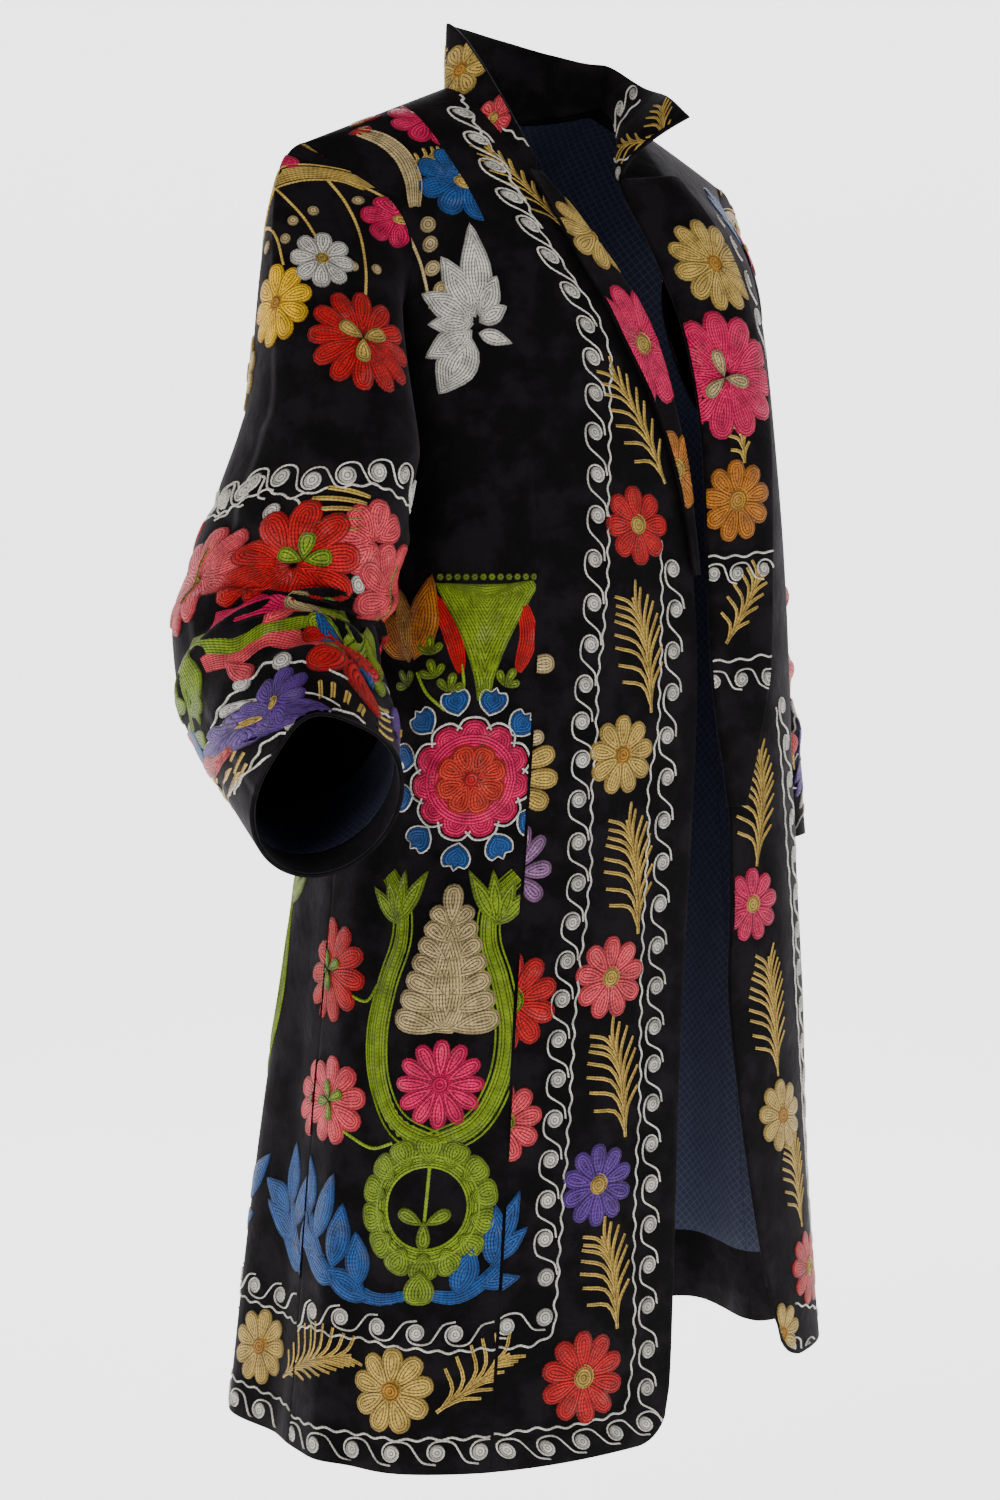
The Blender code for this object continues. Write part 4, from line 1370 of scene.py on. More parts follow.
    def blade(self, spot: Spot, length: float, width: float, thread: Thread, bow: float = 0.0) -> None:
        """One pointed leaf from its foot, bowed to the right."""
        left = [(bow * q - width * math.sin(math.pi * q**0.8) / 2, length * q) for q in (0.2, 0.5, 0.8)]
        right = [(bow * q + width * math.sin(math.pi * q**0.8) / 2, length * q) for q in (0.8, 0.5, 0.2)]
        outline = [(0.0, 0.0), *left, (bow, length), *right]
        self.work.fill(spot, outline, thread, [(0.0, length * 0.1), (bow * 0.85, length * 0.85)])

    def rosette(self, spot: Spot, size: float, buds: Line) -> None:
        """The large round flower: magenta with a white edge and a red core, and blue buds about it."""
        self.flower(spot, size, 11, MAGENTA, None, slim=1.0, outline=CREAM)
        self.work.fill(spot, disc(size * 0.86), MAGENTA, kind=Shape.BROAD, base=0.3)
        self.flower(spot, size * 0.58, 8, SCARLET, None, slim=1.0)
        core = Spot(spot.a, spot.b, 20.0)
        for k in range(8):
            lobe = turned(petal_outline(size * 0.29, size * 0.24, size * 0.02), k * 45.0)
            spine = turned([(0.0, size * 0.05), (0.0, size * 0.22)], k * 45.0)
            self.work.fill(core, lobe, SCARLET, spine, base=1.0)
        self.coin(spot, size * 0.16, RED, base=1.6)
        for a, b in buds:
            turn = math.degrees(math.atan2(b - spot.b, a - spot.a)) - 90.0
            self.trefoil(Spot(a, b, turn), 20.0)

    def trefoil(self, spot: Spot, size: float) -> None:
        """A blue three-pointed bud with a white edge, which points up."""
        r = size / 2
        half = ((0.75, -0.45), (1.0, 0.15), (0.72, 0.72), (0.28, 0.62))
        left = [(-r * x, r * y) for x, y in half]
        right = [(r * x, r * y) for x, y in half[::-1]]
        outline = [(0.0, -r), *left, (0.0, r * 0.95), *right]
        self.work.fill(spot, outline, BLUE, kind=Shape.BROAD)
        self.work.cord(spot, [*outline, outline[0]], 1.7, CREAM, Shape.CURL, high=1.2)

    def lobed(self, spot: Spot, length: float, lobes: int, reach: float, thread: Thread) -> None:
        """A broad leaf with rounded lobes on both sides of its spine.

        Args:
            spot: Its foot.
            length: Its length.
            lobes: How many lobes it has on each side.
            reach: The lowest lobe's length.
            thread: Its silk.
        """
        body = [(x, length * 0.88 - y) for x, y in petal_outline(length * 0.86, reach * 1.05)[::-1]]
        self.work.fill(spot, body, thread, [(0.0, length * 0.1), (0.0, length * 0.7)])
        for k in range(lobes):
            share = k / max(lobes - 1, 1)
            foot = length * (0.06 + 0.66 * share)
            size = reach * (1.06 - 0.50 * share)
            lean = 78.0 - 36.0 * share
            for way in (1, -1):
                outline = turned(petal_outline(size, 8.0 + size * 0.28), lean * way)
                spine = turned([(0.0, size * 0.1), (0.0, size * 0.75)], lean * way)
                moved = [(x, y + foot) for x, y in outline]
                self.work.fill(spot, moved, thread, [(x, y + foot) for x, y in spine])
        top = [(x, y + length * 0.72) for x, y in petal_outline(length * 0.30, reach * 0.42)]
        self.work.fill(spot, top, thread, [(0.0, length * 0.76), (0.0, length * 0.94)], base=0.3)

    def vase(self, spot: Spot) -> None:
        """A green funnel with a looped rim."""
        half = ((38, 0), (31, -14), (21, -32), (13, -50), (7, -68), (1, -86))
        outline = [(-38, 0), (-14, -1), (14, -1), *half, *((-x, y) for x, y in half[:0:-1])]
        self.work.fill(spot, outline, GREEN, [(0.0, -12.0), (0.0, -70.0)], Shape.BROAD, 0.9)
        for way in (-1, 1):
            for inset in (0.78, 0.52, 0.28):
                side = ((36, -3), (28, -18), (18, -36), (9, -60))
                line = [(way * x * inset, y + (1 - inset) * -6) for x, y in side]
                self.work.cord(spot, line, 2.3, GREEN, base=0.5)
        for k in range(12):
            self.coin(Spot(spot.a - 33 + k * 6, spot.b + 3.5), 5.4, GREEN, base=0.2)

    def tulip(self, spot: Spot) -> None:
        """An orange tulip of three petals, whose middle one is thin and pointed."""
        self.blade(Spot(spot.a + 4, spot.b, spot.turn - 18), 62.0, 27.0, ORANGE, -7.0)
        self.blade(Spot(spot.a - 4, spot.b, spot.turn + 46), 50.0, 26.0, ORANGE, 9.0)
        self.blade(Spot(spot.a, spot.b - 2, spot.turn + 14), 54.0, 24.0, AMBER, 2.0)

    def lyre(self, spot: Spot, left: Line, right: Line, width: float = 18.0) -> None:
        """Two green bands that meet below, each with a light edge."""
        for line in (left, right):
            self.band(spot, line, width, GREEN, (0.7, 1.0))
            self.work.cord(spot, line, 2.4, GREEN, Shape.CURL, base=0.9)

    def ring(self, spot: Spot, outer: float, inner: float, lobes: int = 14) -> None:
        """A green ring of scallops round bare velvet, with a three-lobed sprig hung in it."""
        width = 2 * outer * math.sin(math.pi / lobes) * 1.02
        for k in range(lobes):
            angle = 360.0 * k / lobes
            shape = turned(petal_outline(outer - inner, width, inner), angle)
            spine = turned([(0.0, inner + 3.0), (0.0, outer - 5.0)], angle)
            self.work.fill(spot, shape, GREEN, spine)
        circle = [(inner * math.sin(t), inner * math.cos(t)) for t in np.linspace(0, 2 * math.pi, 33)]
        self.work.cord(spot, circle, 4.4, GREEN, Shape.CURL, high=1.3)
        band = [(x * (1 + 7 / inner), y * (1 + 7 / inner)) for x, y in circle]
        self.work.cord(spot, band, 12.0, GREEN, Shape.CURL, high=0.9, base=0.3)
        self.work.cord(spot, [(1.0, inner), (0.0, 6.0), (-1.0, -16.0)], 3.2, GREEN)
        for x, y, turn in ((-1.0, -12.0, 62.0), (-1.0, -12.0, -62.0), (-1.0, -8.0, 180.0)):
            self.petal(Spot(spot.a + x, spot.b + y, turn), 21.0, 11.0, GREEN)


# The designs, panel by panel, in millimetres on each cloth


class Bloom(NamedTuple):
    """A flower: its middle, width, petals and silk, and its heart's share of the width."""

    a: float
    b: float
    size: float
    petals: int
    thread: Thread
    heart: Thread = GOLD
    share: float = 0.26
    first: float = 90.0


class Fern(NamedTuple):
    """A spray of narrow leaves: its foot, turn and length, leaves a side, longest leaf and bow."""

    a: float
    b: float
    turn: float
    length: float
    leaves: int = 8
    reach: float = 28.0
    bend: float = 8.0


class Frond(NamedTuple):
    """A pointed leaf or a petal: its foot, turn, length, width and silk."""

    a: float
    b: float
    turn: float
    length: float
    width: float
    thread: Thread


RIGHT_EDGE = (
    (-21, -366), (-21, -395), (-25, -425), (-26, -455), (-30, -486), (-28, -516), (-29, -547), (-28, -577),
    (-28, -607), (-28, -637), (-27, -666), (-27, -695), (-26, -722), (-26, -750), (-26, -779), (-25, -808),
    (-25, -837), (-25, -866), (-25, -895), (-24, -927), (-26, -954),
)
RIGHT_SEAM = (
    (-17, -1), (-24, -31), (-30, -59), (-39, -88), (-44, -112), (-48, -137), (-51, -164), (-54, -190),
    (-60, -214), (-67, -240), (-76, -268), (-81, -298), (-86, -327), (-93, -358), (-97, -389), (-101, -418),
    (-106, -446), (-108, -472), (-106, -499), (-107, -527), (-105, -557), (-103, -586), (-105, -613),
    (-107, -640), (-109, -667), (-110, -695), (-109, -723), (-110, -751), (-112, -779), (-113, -807),
    (-114, -834), (-112, -861),
)
RIGHT_EDGE_WAVE = (
    (-30, -345), (-34, -388), (-38, -440), (-41, -495), (-44, -508), (-43, -560), (-43, -602), (-41, -670),
    (-38, -746), (-39, -800), (-39, -852), (-38, -931), (-43, -955), (-48, -966),
)
RIGHT_SEAM_WAVE = (
    (-4, 28), (-10, 8), (-17, -16), (-22, -52), (-30, -83), (-38, -116), (-41, -150), (-42, -207), (-55, -245),
    (-66, -281), (-75, -320), (-81, -359), (-89, -404), (-96, -453), (-95, -478), (-96, -526), (-93, -586),
    (-96, -640), (-98, -690), (-98, -738), (-101, -808), (-104, -878), (-106, -900), (-116, -906), (-149, -907),
)
RIGHT_HEM = ((-146, -979), (-117, -981), (-89, -981), (-60, -980), (-33, -979))
RIGHT_BLOOMS = (
    Bloom(-51, -334, 58, 8, RED),
    Bloom(-72, -497, 58, 9, GOLD, AMBER),
    Bloom(-70, -655, 60, 9, CORAL),
    Bloom(-73, -801, 60, 10, PURPLE),
    Bloom(-81, -936, 68, 10, RED),
)
RIGHT_FERNS = (
    Fern(-14, -112, 10, 74, 7, 26, 4),
    Fern(-18, -304, 22, 88, 7, 34, 5),
    Fern(-46, -468, 15, 84, 8, 40),
    Fern(-47, -626, 16, 84, 8, 40),
    Fern(-50, -770, 18, 76, 7, 40),
    Fern(-52, -906, 18, 70, 7, 38),
    Fern(-202, -952, -62, 76, 7, 36, -6),
)
SIDE_TOP = ((-173, -901), (-145, -892), (-117, -891), (-86, -893), (-57, -895), (-30, -896))
SIDE_HEM = ((-166, -984), (-134, -983), (-102, -981), (-70, -979), (-38, -978), (-8, -978))


@dataclass
class Garden:
    """Draws the designs of every panel."""

    coat: "Coat"
    made: list[Needlework] = field(default_factory=list)
    left_cuff: float = 14.0  # how far the left sleeve's cuff border lies above the right one's

    def start(self, name: str, cloth: Cloth) -> Pattern:
        """A new piece of needlework on a cloth."""
        work = Needlework(f"silk_{name}", cloth)
        self.made.append(work)
        return Pattern(work)

    def blooms(self, p: Pattern, rows: Sequence[Bloom]) -> None:
        """Draws a table of flowers."""
        for row in rows:
            p.flower(Spot(row.a, row.b), row.size, row.petals, row.thread, row.heart, row.share, row.first)

    def ferns(self, p: Pattern, rows: Sequence[Fern]) -> None:
        """Draws a table of sprays."""
        for row in rows:
            p.spray(Spot(row.a, row.b, row.turn), row.length, row.leaves, GOLD, row.bend, row.reach)

    def fronds(self, p: Pattern, rows: Sequence[Frond], pointed: bool = True) -> None:
        """Draws a table of pointed leaves or of petals."""
        draw = p.blade if pointed else p.petal
        for row in rows:
            draw(Spot(row.a, row.b, row.turn), row.length, row.width, row.thread)

    def right_border(self) -> None:
        """The right front's border: two running scrolls, flowers and sprays."""
        p = self.start("front_right_border", self.coat.right.part(0, SEAM_COLUMN + 1, 0, -1.0))
        p.scrolls(RIGHT_EDGE, 1)
        p.scrolls(RIGHT_SEAM, 1, end=False)
        p.scrolls(RIGHT_HEM, -1)
        p.scrolls(((-168, -893), (-140, -892), (-112, -889)), -1, end=False)
        p.ripple(RIGHT_EDGE_WAVE)
        p.ripple(RIGHT_SEAM_WAVE)
        p.ripple(((-170, -968), (-124, -967), (-86, -969), (-48, -966)))
        self.blooms(p, RIGHT_BLOOMS)
        self.ferns(p, RIGHT_FERNS)
        self.fronds(p, (
            Frond(-154, -432, -84, 24, 15, TAN), Frond(-154, -486, -70, 18, 12, TAN),
            Frond(-156, -502, -70, 30, 16, GOLD), Frond(-156, -510, -92, 32, 16, GOLD),
            Frond(-156, -518, -114, 28, 16, GOLD), Frond(-156, -536, -150, 24, 12, GOLD),
            Frond(-150, -574, -8, 32, 12, LILAC), Frond(-150, -574, -38, 30, 12, LILAC),
            Frond(-150, -576, -84, 26, 14, LILAC), Frond(-150, -578, -132, 26, 14, LILAC),
            Frond(-152, -580, -172, 24, 12, LILAC),
        ), False)
        p.flower(Spot(-148, -666), 72, 10, RED, GREEN, 0.3)
        p.flower(Spot(-148, -750), 58, 9, CORAL, GREEN, 0.3)
        self.fronds(p, (
            Frond(-150, -842, -20, 48, 16, BLUE), Frond(-152, -846, -48, 34, 15, BLUE),
            Frond(-158, -852, 12, 40, 15, BLUE), Frond(-160, -864, -78, 30, 14, BLUE),
        ))

    def right_side(self) -> None:
        """The right front's side panel, down to the hem."""
        p = self.start("front_right_side", self.coat.right.part(SEAM_COLUMN, None, 0, -1.0))
        self.side_figure(p, 0.0)
        p.scrolls(SIDE_TOP, 1)
        p.scrolls(SIDE_HEM, -1)
        p.ripple(((-176, -918), (-159, -906), (-120, -904), (-86, -904), (-35, -908), (0, -907)))
        p.ripple(((-176, -972), (-107, -970), (-50, -969), (0, -968)))
        self.blooms(p, (Bloom(-73, -936, 62, 9, GOLD, AMBER),))
        self.ferns(p, (Fern(-186, -946, -74, 84, 9, 36, -8), Fern(-40, -950, -62, 76, 8, 34, -6)))
        p.flower(Spot(-2, -82), 66, 8, BLUE, GOLD, 0.2)
        p.flower(Spot(4, -20), 56, 8, MAGENTA, GOLD, 0.2)
        self.ferns(p, (Fern(-28, -60, -70, 26, 4, 12, 2),))
        self.fronds(p, (
            Frond(-34, -198, 146, 52, 32, CREAM), Frond(-32, -194, 112, 40, 25, CREAM),
            Frond(-30, -190, 76, 34, 21, CREAM), Frond(-30, -188, 44, 46, 24, CREAM),
            Frond(-28, -186, 14, 54, 25, CREAM), Frond(-26, -184, -12, 70, 25, CREAM),
            Frond(-26, -186, -36, 36, 20, CREAM), Frond(-27, -190, -66, 26, 16, CREAM),
            Frond(-29, -197, -112, 26, 13, CREAM),
        ))
        for a, b in ((-45, -122), (-49, -140), (-47, -158), (-41, -108)):
            p.coin(Spot(a, b), 13.0, TAN, base=0.0)
        p.work.cord(ORIGIN, ((-58, -96), (-56, -130), (-58, -170)), 3.0, TAN)
        p.work.layer = 0.4
        p.band(ORIGIN, ((-50, -14), (-38, -30), (-32, -50), (-34, -70), (-44, -92)), 13.0, TAN, (0.5, 0.6))
        p.work.layer = 0.0
        for a, b, turn, thread in ((-52, -4, -70, ORANGE), (-58, -12, -100, RED), (-22, -4, 70, RED)):
            p.petal(Spot(a, b, turn), 20.0, 11.0, thread)

    def side_figure(self, p: Pattern, a: float) -> None:
        """The tall figure: a vase of tulips, the great rosette, the lyre with its cone, and the ring.

        Args:
            p: The panel's pattern.
            a: How far it is moved across.
        """

        def at(x: float, y: float, turn: float = 0.0) -> Spot:
            """A place in the figure."""
            return Spot(a + x, y, turn)

        def run(*points: tuple[float, float]) -> Line:
            """A line in the figure."""
            return shifted(points, a)

        p.vase(at(-36, -373))
        p.tulip(at(-91, -428))
        for line in (
            run((-76, -382), (-66, -396), (-58, -414), (-52, -436)), run((-10, -390), (-6, -410), (-12, -436)),
        ):
            p.work.cord(ORIGIN, line, 19.0, RED, taper=(0.5, 0.3))
        for line in (run((-84, -436), (-76, -450), (-62, -462)), run((-52, -430), (-50, -446), (-52, -458))):
            p.work.cord(ORIGIN, line, 3.0, GREEN)
        for x, y, turn in ((-70, -440, 20), (-74, -424, 5), (-90, -446, 40), (-60, -450, -10), (-22, -446, -30)):
            p.petal(at(x, y, turn), 15.0, 7.5, GREEN)
            p.petal(at(x, y, turn + 50), 13.0, 7.0, GREEN)
            p.petal(at(x, y, turn - 45), 12.0, 6.5, GREEN)
        buds = run(
            (-55, -456), (-29, -456), (-8, -472), (-77, -470), (-91, -496), (-91, -523), (-75, -551), (-48, -564),
            (-19, -557), (2, -540),
        )
        p.rosette(at(-41, -510), 84.0, buds)
        p.lyre(
            ORIGIN,
            run(
                (-99, -578), (-88, -592), (-84, -620), (-94, -652), (-101, -690), (-97, -722), (-80, -750),
                (-52, -764),
            ),
            run(
                (-4, -578), (-19, -594), (-22, -620), (-12, -650), (-4, -690), (-9, -724), (-24, -750),
                (-52, -764),
            ),
        )
        for way, foot in ((1, -89.0), (-1, -16.0)):
            for turn, length in ((-30, 46), (-8, 40), (18, 36), (42, 34)):
                p.blade(at(foot, -612, turn * way), length, 13.0, GREEN, 0.0)
        p.lobed(at(-48, -690, 0), 106.0, 7, 37.0, TAN)
        p.flower(at(-50, -722), 64, 12, MAGENTA, MAGENTA, 0.24)
        p.ring(at(-55, -808), 51.0, 30.0)
        p.petal(at(-57, -850, 180), 26.0, 24.0, GREEN, base=0.8)
        p.flower(at(-151, -650), 76, 11, RED, None)
        p.flower(at(-139, -741), 64, 9, CORAL, None)
        for x, y in ((-151, -650), (-139, -741)):
            for turn in (20, 100, -60, 180):
                p.petal(at(x, y, turn), 15.0, 9.0, GREEN, base=1.0)
        for line in (run((-128, -664), (-112, -668), (-104, -656)), run((-126, -760), (-100, -770), (-82, -764))):
            p.work.cord(ORIGIN, line, 3.0, GREEN)
        leaves = (
            (-156, -826, 16, 44), (-158, -832, 66, 36), (-148, -842, -16, 50), (-142, -852, 66, 46),
            (-126, -858, -2, 44), (-122, -868, 68, 44), (-104, -868, 14, 36), (-96, -876, 70, 40),
            (6, -838, -30, 48), (-4, -852, 8, 42), (-16, -864, -60, 46), (-30, -870, -8, 34),
        )
        for x, y, turn, length in leaves:
            p.blade(at(x, y, turn), length * 1.1, 22.0, BLUE, 4.0)
        for line in (
            run((-164, -812), (-148, -842), (-122, -864), (-90, -874), (-62, -868)),
            run((8, -832), (-8, -856), (-30, -870), (-54, -868)),
        ):
            p.work.cord(ORIGIN, line, 13.0, BLUE, taper=(0.4, 0.6), base=0.4)

    def left_border(self) -> None:
        """The left front's border."""
        p = self.start("front_left_border", self.coat.left.part(0, SEAM_COLUMN + 1, 0, 1.0))
        self.blooms(p, (
            Bloom(19, -616, 56, 9, MAGENTA), Bloom(45, -779, 58, 9, GOLD, AMBER),
            Bloom(63, -906, 60, 9, RED), Bloom(12, -948, 50, 9, GOLD, AMBER),
        ))
        self.ferns(p, (
            Fern(24, -588, -4, 88, 9, 36, 4), Fern(44, -748, 6, 92, 10, 38, 6), Fern(60, -872, 4, 70, 8, 34, 5),
        ))
        p.scrolls([(74 + 0.115 * k * PITCH - (k > 8) * 4, -470 - PITCH * k) for k in range(15)], 1)
        p.scrolls([(120, -30), (118, -60), (114, -88), (112, -116), (106, -146), (98, -176)], 1)
        p.ripple(((60, -470), (64, -560), (82, -660), (88, -760), (96, -860), (100, -930)))
        p.ripple(((32, -929), (70, -940), (100, -952), (136, -966)))
        p.scrolls(((30, -962), (58, -968), (88, -974), (116, -980), (145, -984)), -1)

    def left_side(self) -> None:
        """The left front's side panel, which repeats the right one's hem."""
        p = self.start("front_left_side", self.coat.left.part(SEAM_COLUMN, None, 0, 1.0))
        self.blooms(p, (Bloom(48, -936, 60, 9, CORAL), Bloom(44, -70, 66, 9, BLUE)))
        p.scrolls([(6 + PITCH * k, -894) for k in range(4)], 1)
        p.scrolls([(6 + PITCH * k, -980) for k in range(4)], -1)
        p.ripple(((0, -907), (46, -905), (94, -907)))
        p.ripple(((0, -968), (46, -969), (94, -968)))
        p.rosette(Spot(47, -510), 52.0, around(47, -510, 36, 8))
        p.lobed(Spot(46, -690, 0), 112.0, 5, 38.0, TAN)
        p.flower(Spot(46, -722), 60, 12, MAGENTA, MAGENTA)
        p.ring(Spot(46, -812), 44.0, 29.0)

    def beyond_side(self, b: float) -> float:
        """How far a design on the right side panel moves to go on over the side seam on to the back."""
        back, side = self.coat.back, self.coat.right.part(SEAM_COLUMN, None, 0, -1.0)
        at_back = np.interp(-b * MM, -back.up[:, -1], back.across[:, -1])
        at_side = np.interp(-b * MM, -side.up[:, -1], side.across[:, -1])
        return float(at_back - at_side) / MM

    def back(self) -> None:
        """The back: the tall figure twice, a middle rosette and the hem border."""
        p = self.start("back", self.coat.back)
        for a in (-75.0, 215.0, self.beyond_side(-700.0)):
            self.side_figure(p, a)
        for a, b, size, thread in ((0, -200, 110, RED), (-130, -150, 76, BLUE), (130, -150, 76, GOLD)):
            p.flower(Spot(a, b), size, 12, thread, GOLD, 0.22)
        p.lobed(Spot(0, -420, 0), 150.0, 6, 56.0, CREAM)
        for a, turn in ((-200, 12), (200, -12)):
            p.spray(Spot(a, -250, turn), 90.0, 9, GOLD, 6.0, 36.0)
            p.flower(Spot(a * 1.05, -300), 70, 10, RED, GREEN, 0.22)
        p.rosette(Spot(0, -520), 96.0, around(0, -520, 62, 9))
        start = self.beyond_side(-900.0) - 202.0
        for b, side in ((-894, 1), (-982, -1)):
            p.scrolls([(start - PITCH * k, b) for k in range(23, -1, -1)], side)
        for b in (-906, -968):
            p.ripple([(-340 + 85 * k, b) for k in range(9)])
        for k in range(5):
            a = -280 + 140 * k
            thread = (RED, GOLD, CORAL)[k % 3]
            p.flower(Spot(a, -936), 58, 9, thread, AMBER)
            self.ferns(p, (Fern(a + 34, -950, -64, 66, 7, 24, -6),))

    def collar(self) -> None:
        """The collar's outside, and the inside of its left wing, which leans out."""
        p = self.start("collar", self.coat.collar)
        self.blooms(p, (
            Bloom(97, -5, 46, 8, GOLD, AMBER), Bloom(52, -42, 34, 7, CORAL),
            Bloom(220, 0, 46, 8, MAGENTA), Bloom(160, -8, 40, 8, BLUE), Bloom(290, -20, 40, 8, RED),
        ))
        self.ferns(p, [Fern(a, b, 10, 42, 5, 16, 3) for a, b in ((128, -30), (190, -24), (254, -30))])
        p.ripple(((0, -66), (60, -42), (130, -16), (220, -8), (310, -20), (400, -44)))
        q = self.start("collar_inside", self.coat.collar.inner(Collar.thickness))
        q.scrolls(((338, -8), (318, -22), (302, -38)), 1, 12.5, end=False)
        q.ripple(((352, -12), (340, -24), (326, -38), (312, -50)))
        q.ripple(((346, -64), (368, -66), (394, -58), (418, -50)))
        q.scrolls(((418, -62), (394, -70), (370, -76)), 1, 12.5, end=False)
        q.spray(Spot(420, -46, 40), 44.0, 5, GOLD, 2.0, 30.0)
        q.spray(Spot(398, -46, 106), 38.0, 4, GOLD, 2.0, 24.0)

    def lapels(self) -> None:
        """The two turned-back lapels."""
        p = self.start("lapel_right", self.coat.lapel_right.part(5, None, 0, -1.0))
        self.blooms(p, (
            Bloom(2, -139, 70, 10, GOLD, AMBER, 0.2), Bloom(-20, -228, 96, 11, MAGENTA, GOLD, 0.18),
            Bloom(-16, -322, 60, 9, ORANGE),
        ))
        q = self.start("lapel_left", self.coat.lapel_left.part(5, None, 0, 1.0))
        q.flower(Spot(46, -156), 76, 11, GOLD, AMBER, 0.2)
        q.flower(Spot(27, -240), 98, 11, MAGENTA, None, slim=0.9)
        for turn in (10, 125, -105):
            q.petal(Spot(24, -242, turn), 22.0, 12.0, TAN, base=1.1)
        q.spray(Spot(34, -306, 10), 32.0, 4, GOLD, 3.0, 18.0)
        q.flower(Spot(26, -333), 62, 9, ORANGE, AMBER, 0.3)
        q.ripple(((0, -372), (40, -374), (72, -372)))
        q.scrolls(((4, -384), (24, -386), (48, -386), (70, -386)), -1, 12.0)
        q.spray(Spot(12, -436, -30), 60.0, 6, GOLD, 4.0, 26.0)
        q.ripple(((0, -448), (40, -450), (72, -448)))
        q.scrolls(((0, -462), (24, -464), (48, -466)), -1, 12.0)

    def sleeve(self, name: str, cloth: Cloth, cuff: float) -> None:
        """One sleeve.

        Args:
            name: Which one.
            cloth: Its cloth.
            cuff: How far its cuff border is moved up.
        """
        p = self.start(f"sleeve_{name}", cloth)
        self.sleeve_head(p)
        self.sleeve_middle(p)
        self.sleeve_cuff(p, cuff)

    def sleeve_head(self, p: Pattern) -> None:
        """The crescents, hanging flowers and the great red flower below the shoulder."""
        work = p.work
        crescent = ((-44, -138), (-22, -124), (0, -112), (22, -100), (44, -96), (60, -102))
        p.band(ORIGIN, crescent, 19.0, GOLD, (0.45, 0.45))
        p.band(ORIGIN, ((-6, -50), (20, -58), (46, -72), (68, -92), (84, -114)), 14.0, TAN, (0.6, 0.5))
        for a, b, turn, thread in (
            (16, -78, -70, RED), (30, -84, -60, RED), (0, -72, -80, GOLD), (-12, -92, -100, MAGENTA),
        ):
            p.petal(Spot(a, b, turn), 24.0, 13.0, thread)
        for stem in (
            ((-30, -130), (-12, -144), (4, -162), (12, -188)), ((-6, -116), (10, -130), (26, -146), (38, -164)),
            ((34, -104), (52, -122), (68, -148), (76, -180), (76, -214)),
            ((44, -100), (62, -104), (80, -112), (95, -124)),
        ):
            work.cord(ORIGIN, stem, 3.0, GOLD)
        for a, b in (
            (-6, -166), (13, -166), (32, -138), (18, -150), (66, -182), (85, -178), (66, -98), (60, -118), (104, -140),
        ):
            p.coin(Spot(a, b), 9.5, TAN, base=0.3)
        work.layer = 0.3
        p.flower(Spot(5, -216), 62, 9, YELLOW, AMBER, 0.2)
        work.layer = 0.6
        p.flower(Spot(42, -182), 50, 8, CREAM, GOLD, 0.22)
        p.flower(Spot(92, -124), 56, 7, MAGENTA, GOLD, 0.2)
        p.flower(Spot(73, -246), 84, 12, RED, None)
        for turn in (60, -60, 180):
            p.petal(Spot(73, -246, turn), 20.0, 13.0, GOLD, base=1.1)
        for a, b, size, thread in (
            (180, -120, 60, BLUE), (250, -180, 70, CORAL), (330, -130, 66, MAGENTA), (340, -250, 58, GOLD),
        ):
            p.flower(Spot(a, b), size, 9, thread, GOLD)
        work.layer = 0.0

    def sleeve_middle(self, p: Pattern) -> None:
        """The scroll round the arm, and the flowers and leaves bunched under it."""
        work = p.work
        front = [(-18, -347), (9, -345), (31, -348), (54, -353), (76, -348), (96, -340), (118, -331)]
        rest = [(143 + 24 * k, -334 - 1.3 * k) for k in range(13)]
        p.scrolls(front + rest, -1, 14.5)
        p.ripple((
            (-26, -360), (8, -357), (23, -356), (43, -364), (69, -358), (99, -349), (130, -346), (220, -350),
            (320, -354), (437, -360),
        ))
        p.ripple(((46, -366), (62, -382), (80, -395), (112, -405)))
        for a, b in ((33, -373), (104, -415)):
            p.coin(Spot(a, b), 13.0, CREAM, base=0.2)
        for base in (0.0, 150.0, 262.0):
            foot = Spot(base, 0)
            for a1, b1, a2, b2 in (
                (94, -358, 66, -358), (93, -363, 58, -366), (92, -368, 54, -375), (94, -373, 60, -385),
                (96, -378, 74, -392),
            ):
                work.cord(foot, ((a1, b1), (a2, b2)), 3.8, GOLD, Shape.SHORT, (0.7, 0.9), base=1.6)
            work.layer = 0.5
            for turn in (-36, 10, 56, 102, 150, 200):
                p.petal(Spot(base + 108, -384, turn), 29.0, 21.0, CORAL)
            work.layer = 0.9
            p.flower(Spot(base - 10, -410), 78, 9, CORAL, None)
            work.cord(foot, ((-10, -388), (-13, -410), (-12, -430)), 5.0, GREEN, base=1.0)
            work.layer = 1.3
            p.flower(Spot(base + 58, -412), 92, 10, RED, None)
            for turn in (0, 75, -75):
                p.petal(Spot(base + 64, -408, turn), 19.0, 13.0, GREEN, base=1.1)
            work.layer = 0.2
            stem = ((-2, -472), (24, -480), (58, -494), (100, -512))
            work.cord(foot, stem, 30.0, GREEN, Shape.CURL, (0.9, 0.5))
            p.blade(Spot(base + 6, -466, 168), 66.0, 24.0, GREEN, 6.0)
            p.blade(Spot(base - 14, -470, 128), 52.0, 22.0, GREEN, 4.0)
            work.cord(foot, ((-8, -486), (-26, -506), (-40, -534)), 9.0, GREEN)
            for a, b, turn in (
                (-22, -502, 60), (-30, -512, 100), (-34, -524, 140), (-26, -508, -110), (-34, -522, -140),
            ):
                p.petal(Spot(base + a, b, turn), 28.0, 17.0, GREEN)
            work.layer = 0.7
            stem = ((26, -460), (52, -464), (80, -478), (108, -504))
            work.cord(foot, stem, 22.0, MAGENTA, Shape.CURL, (0.8, 0.3))
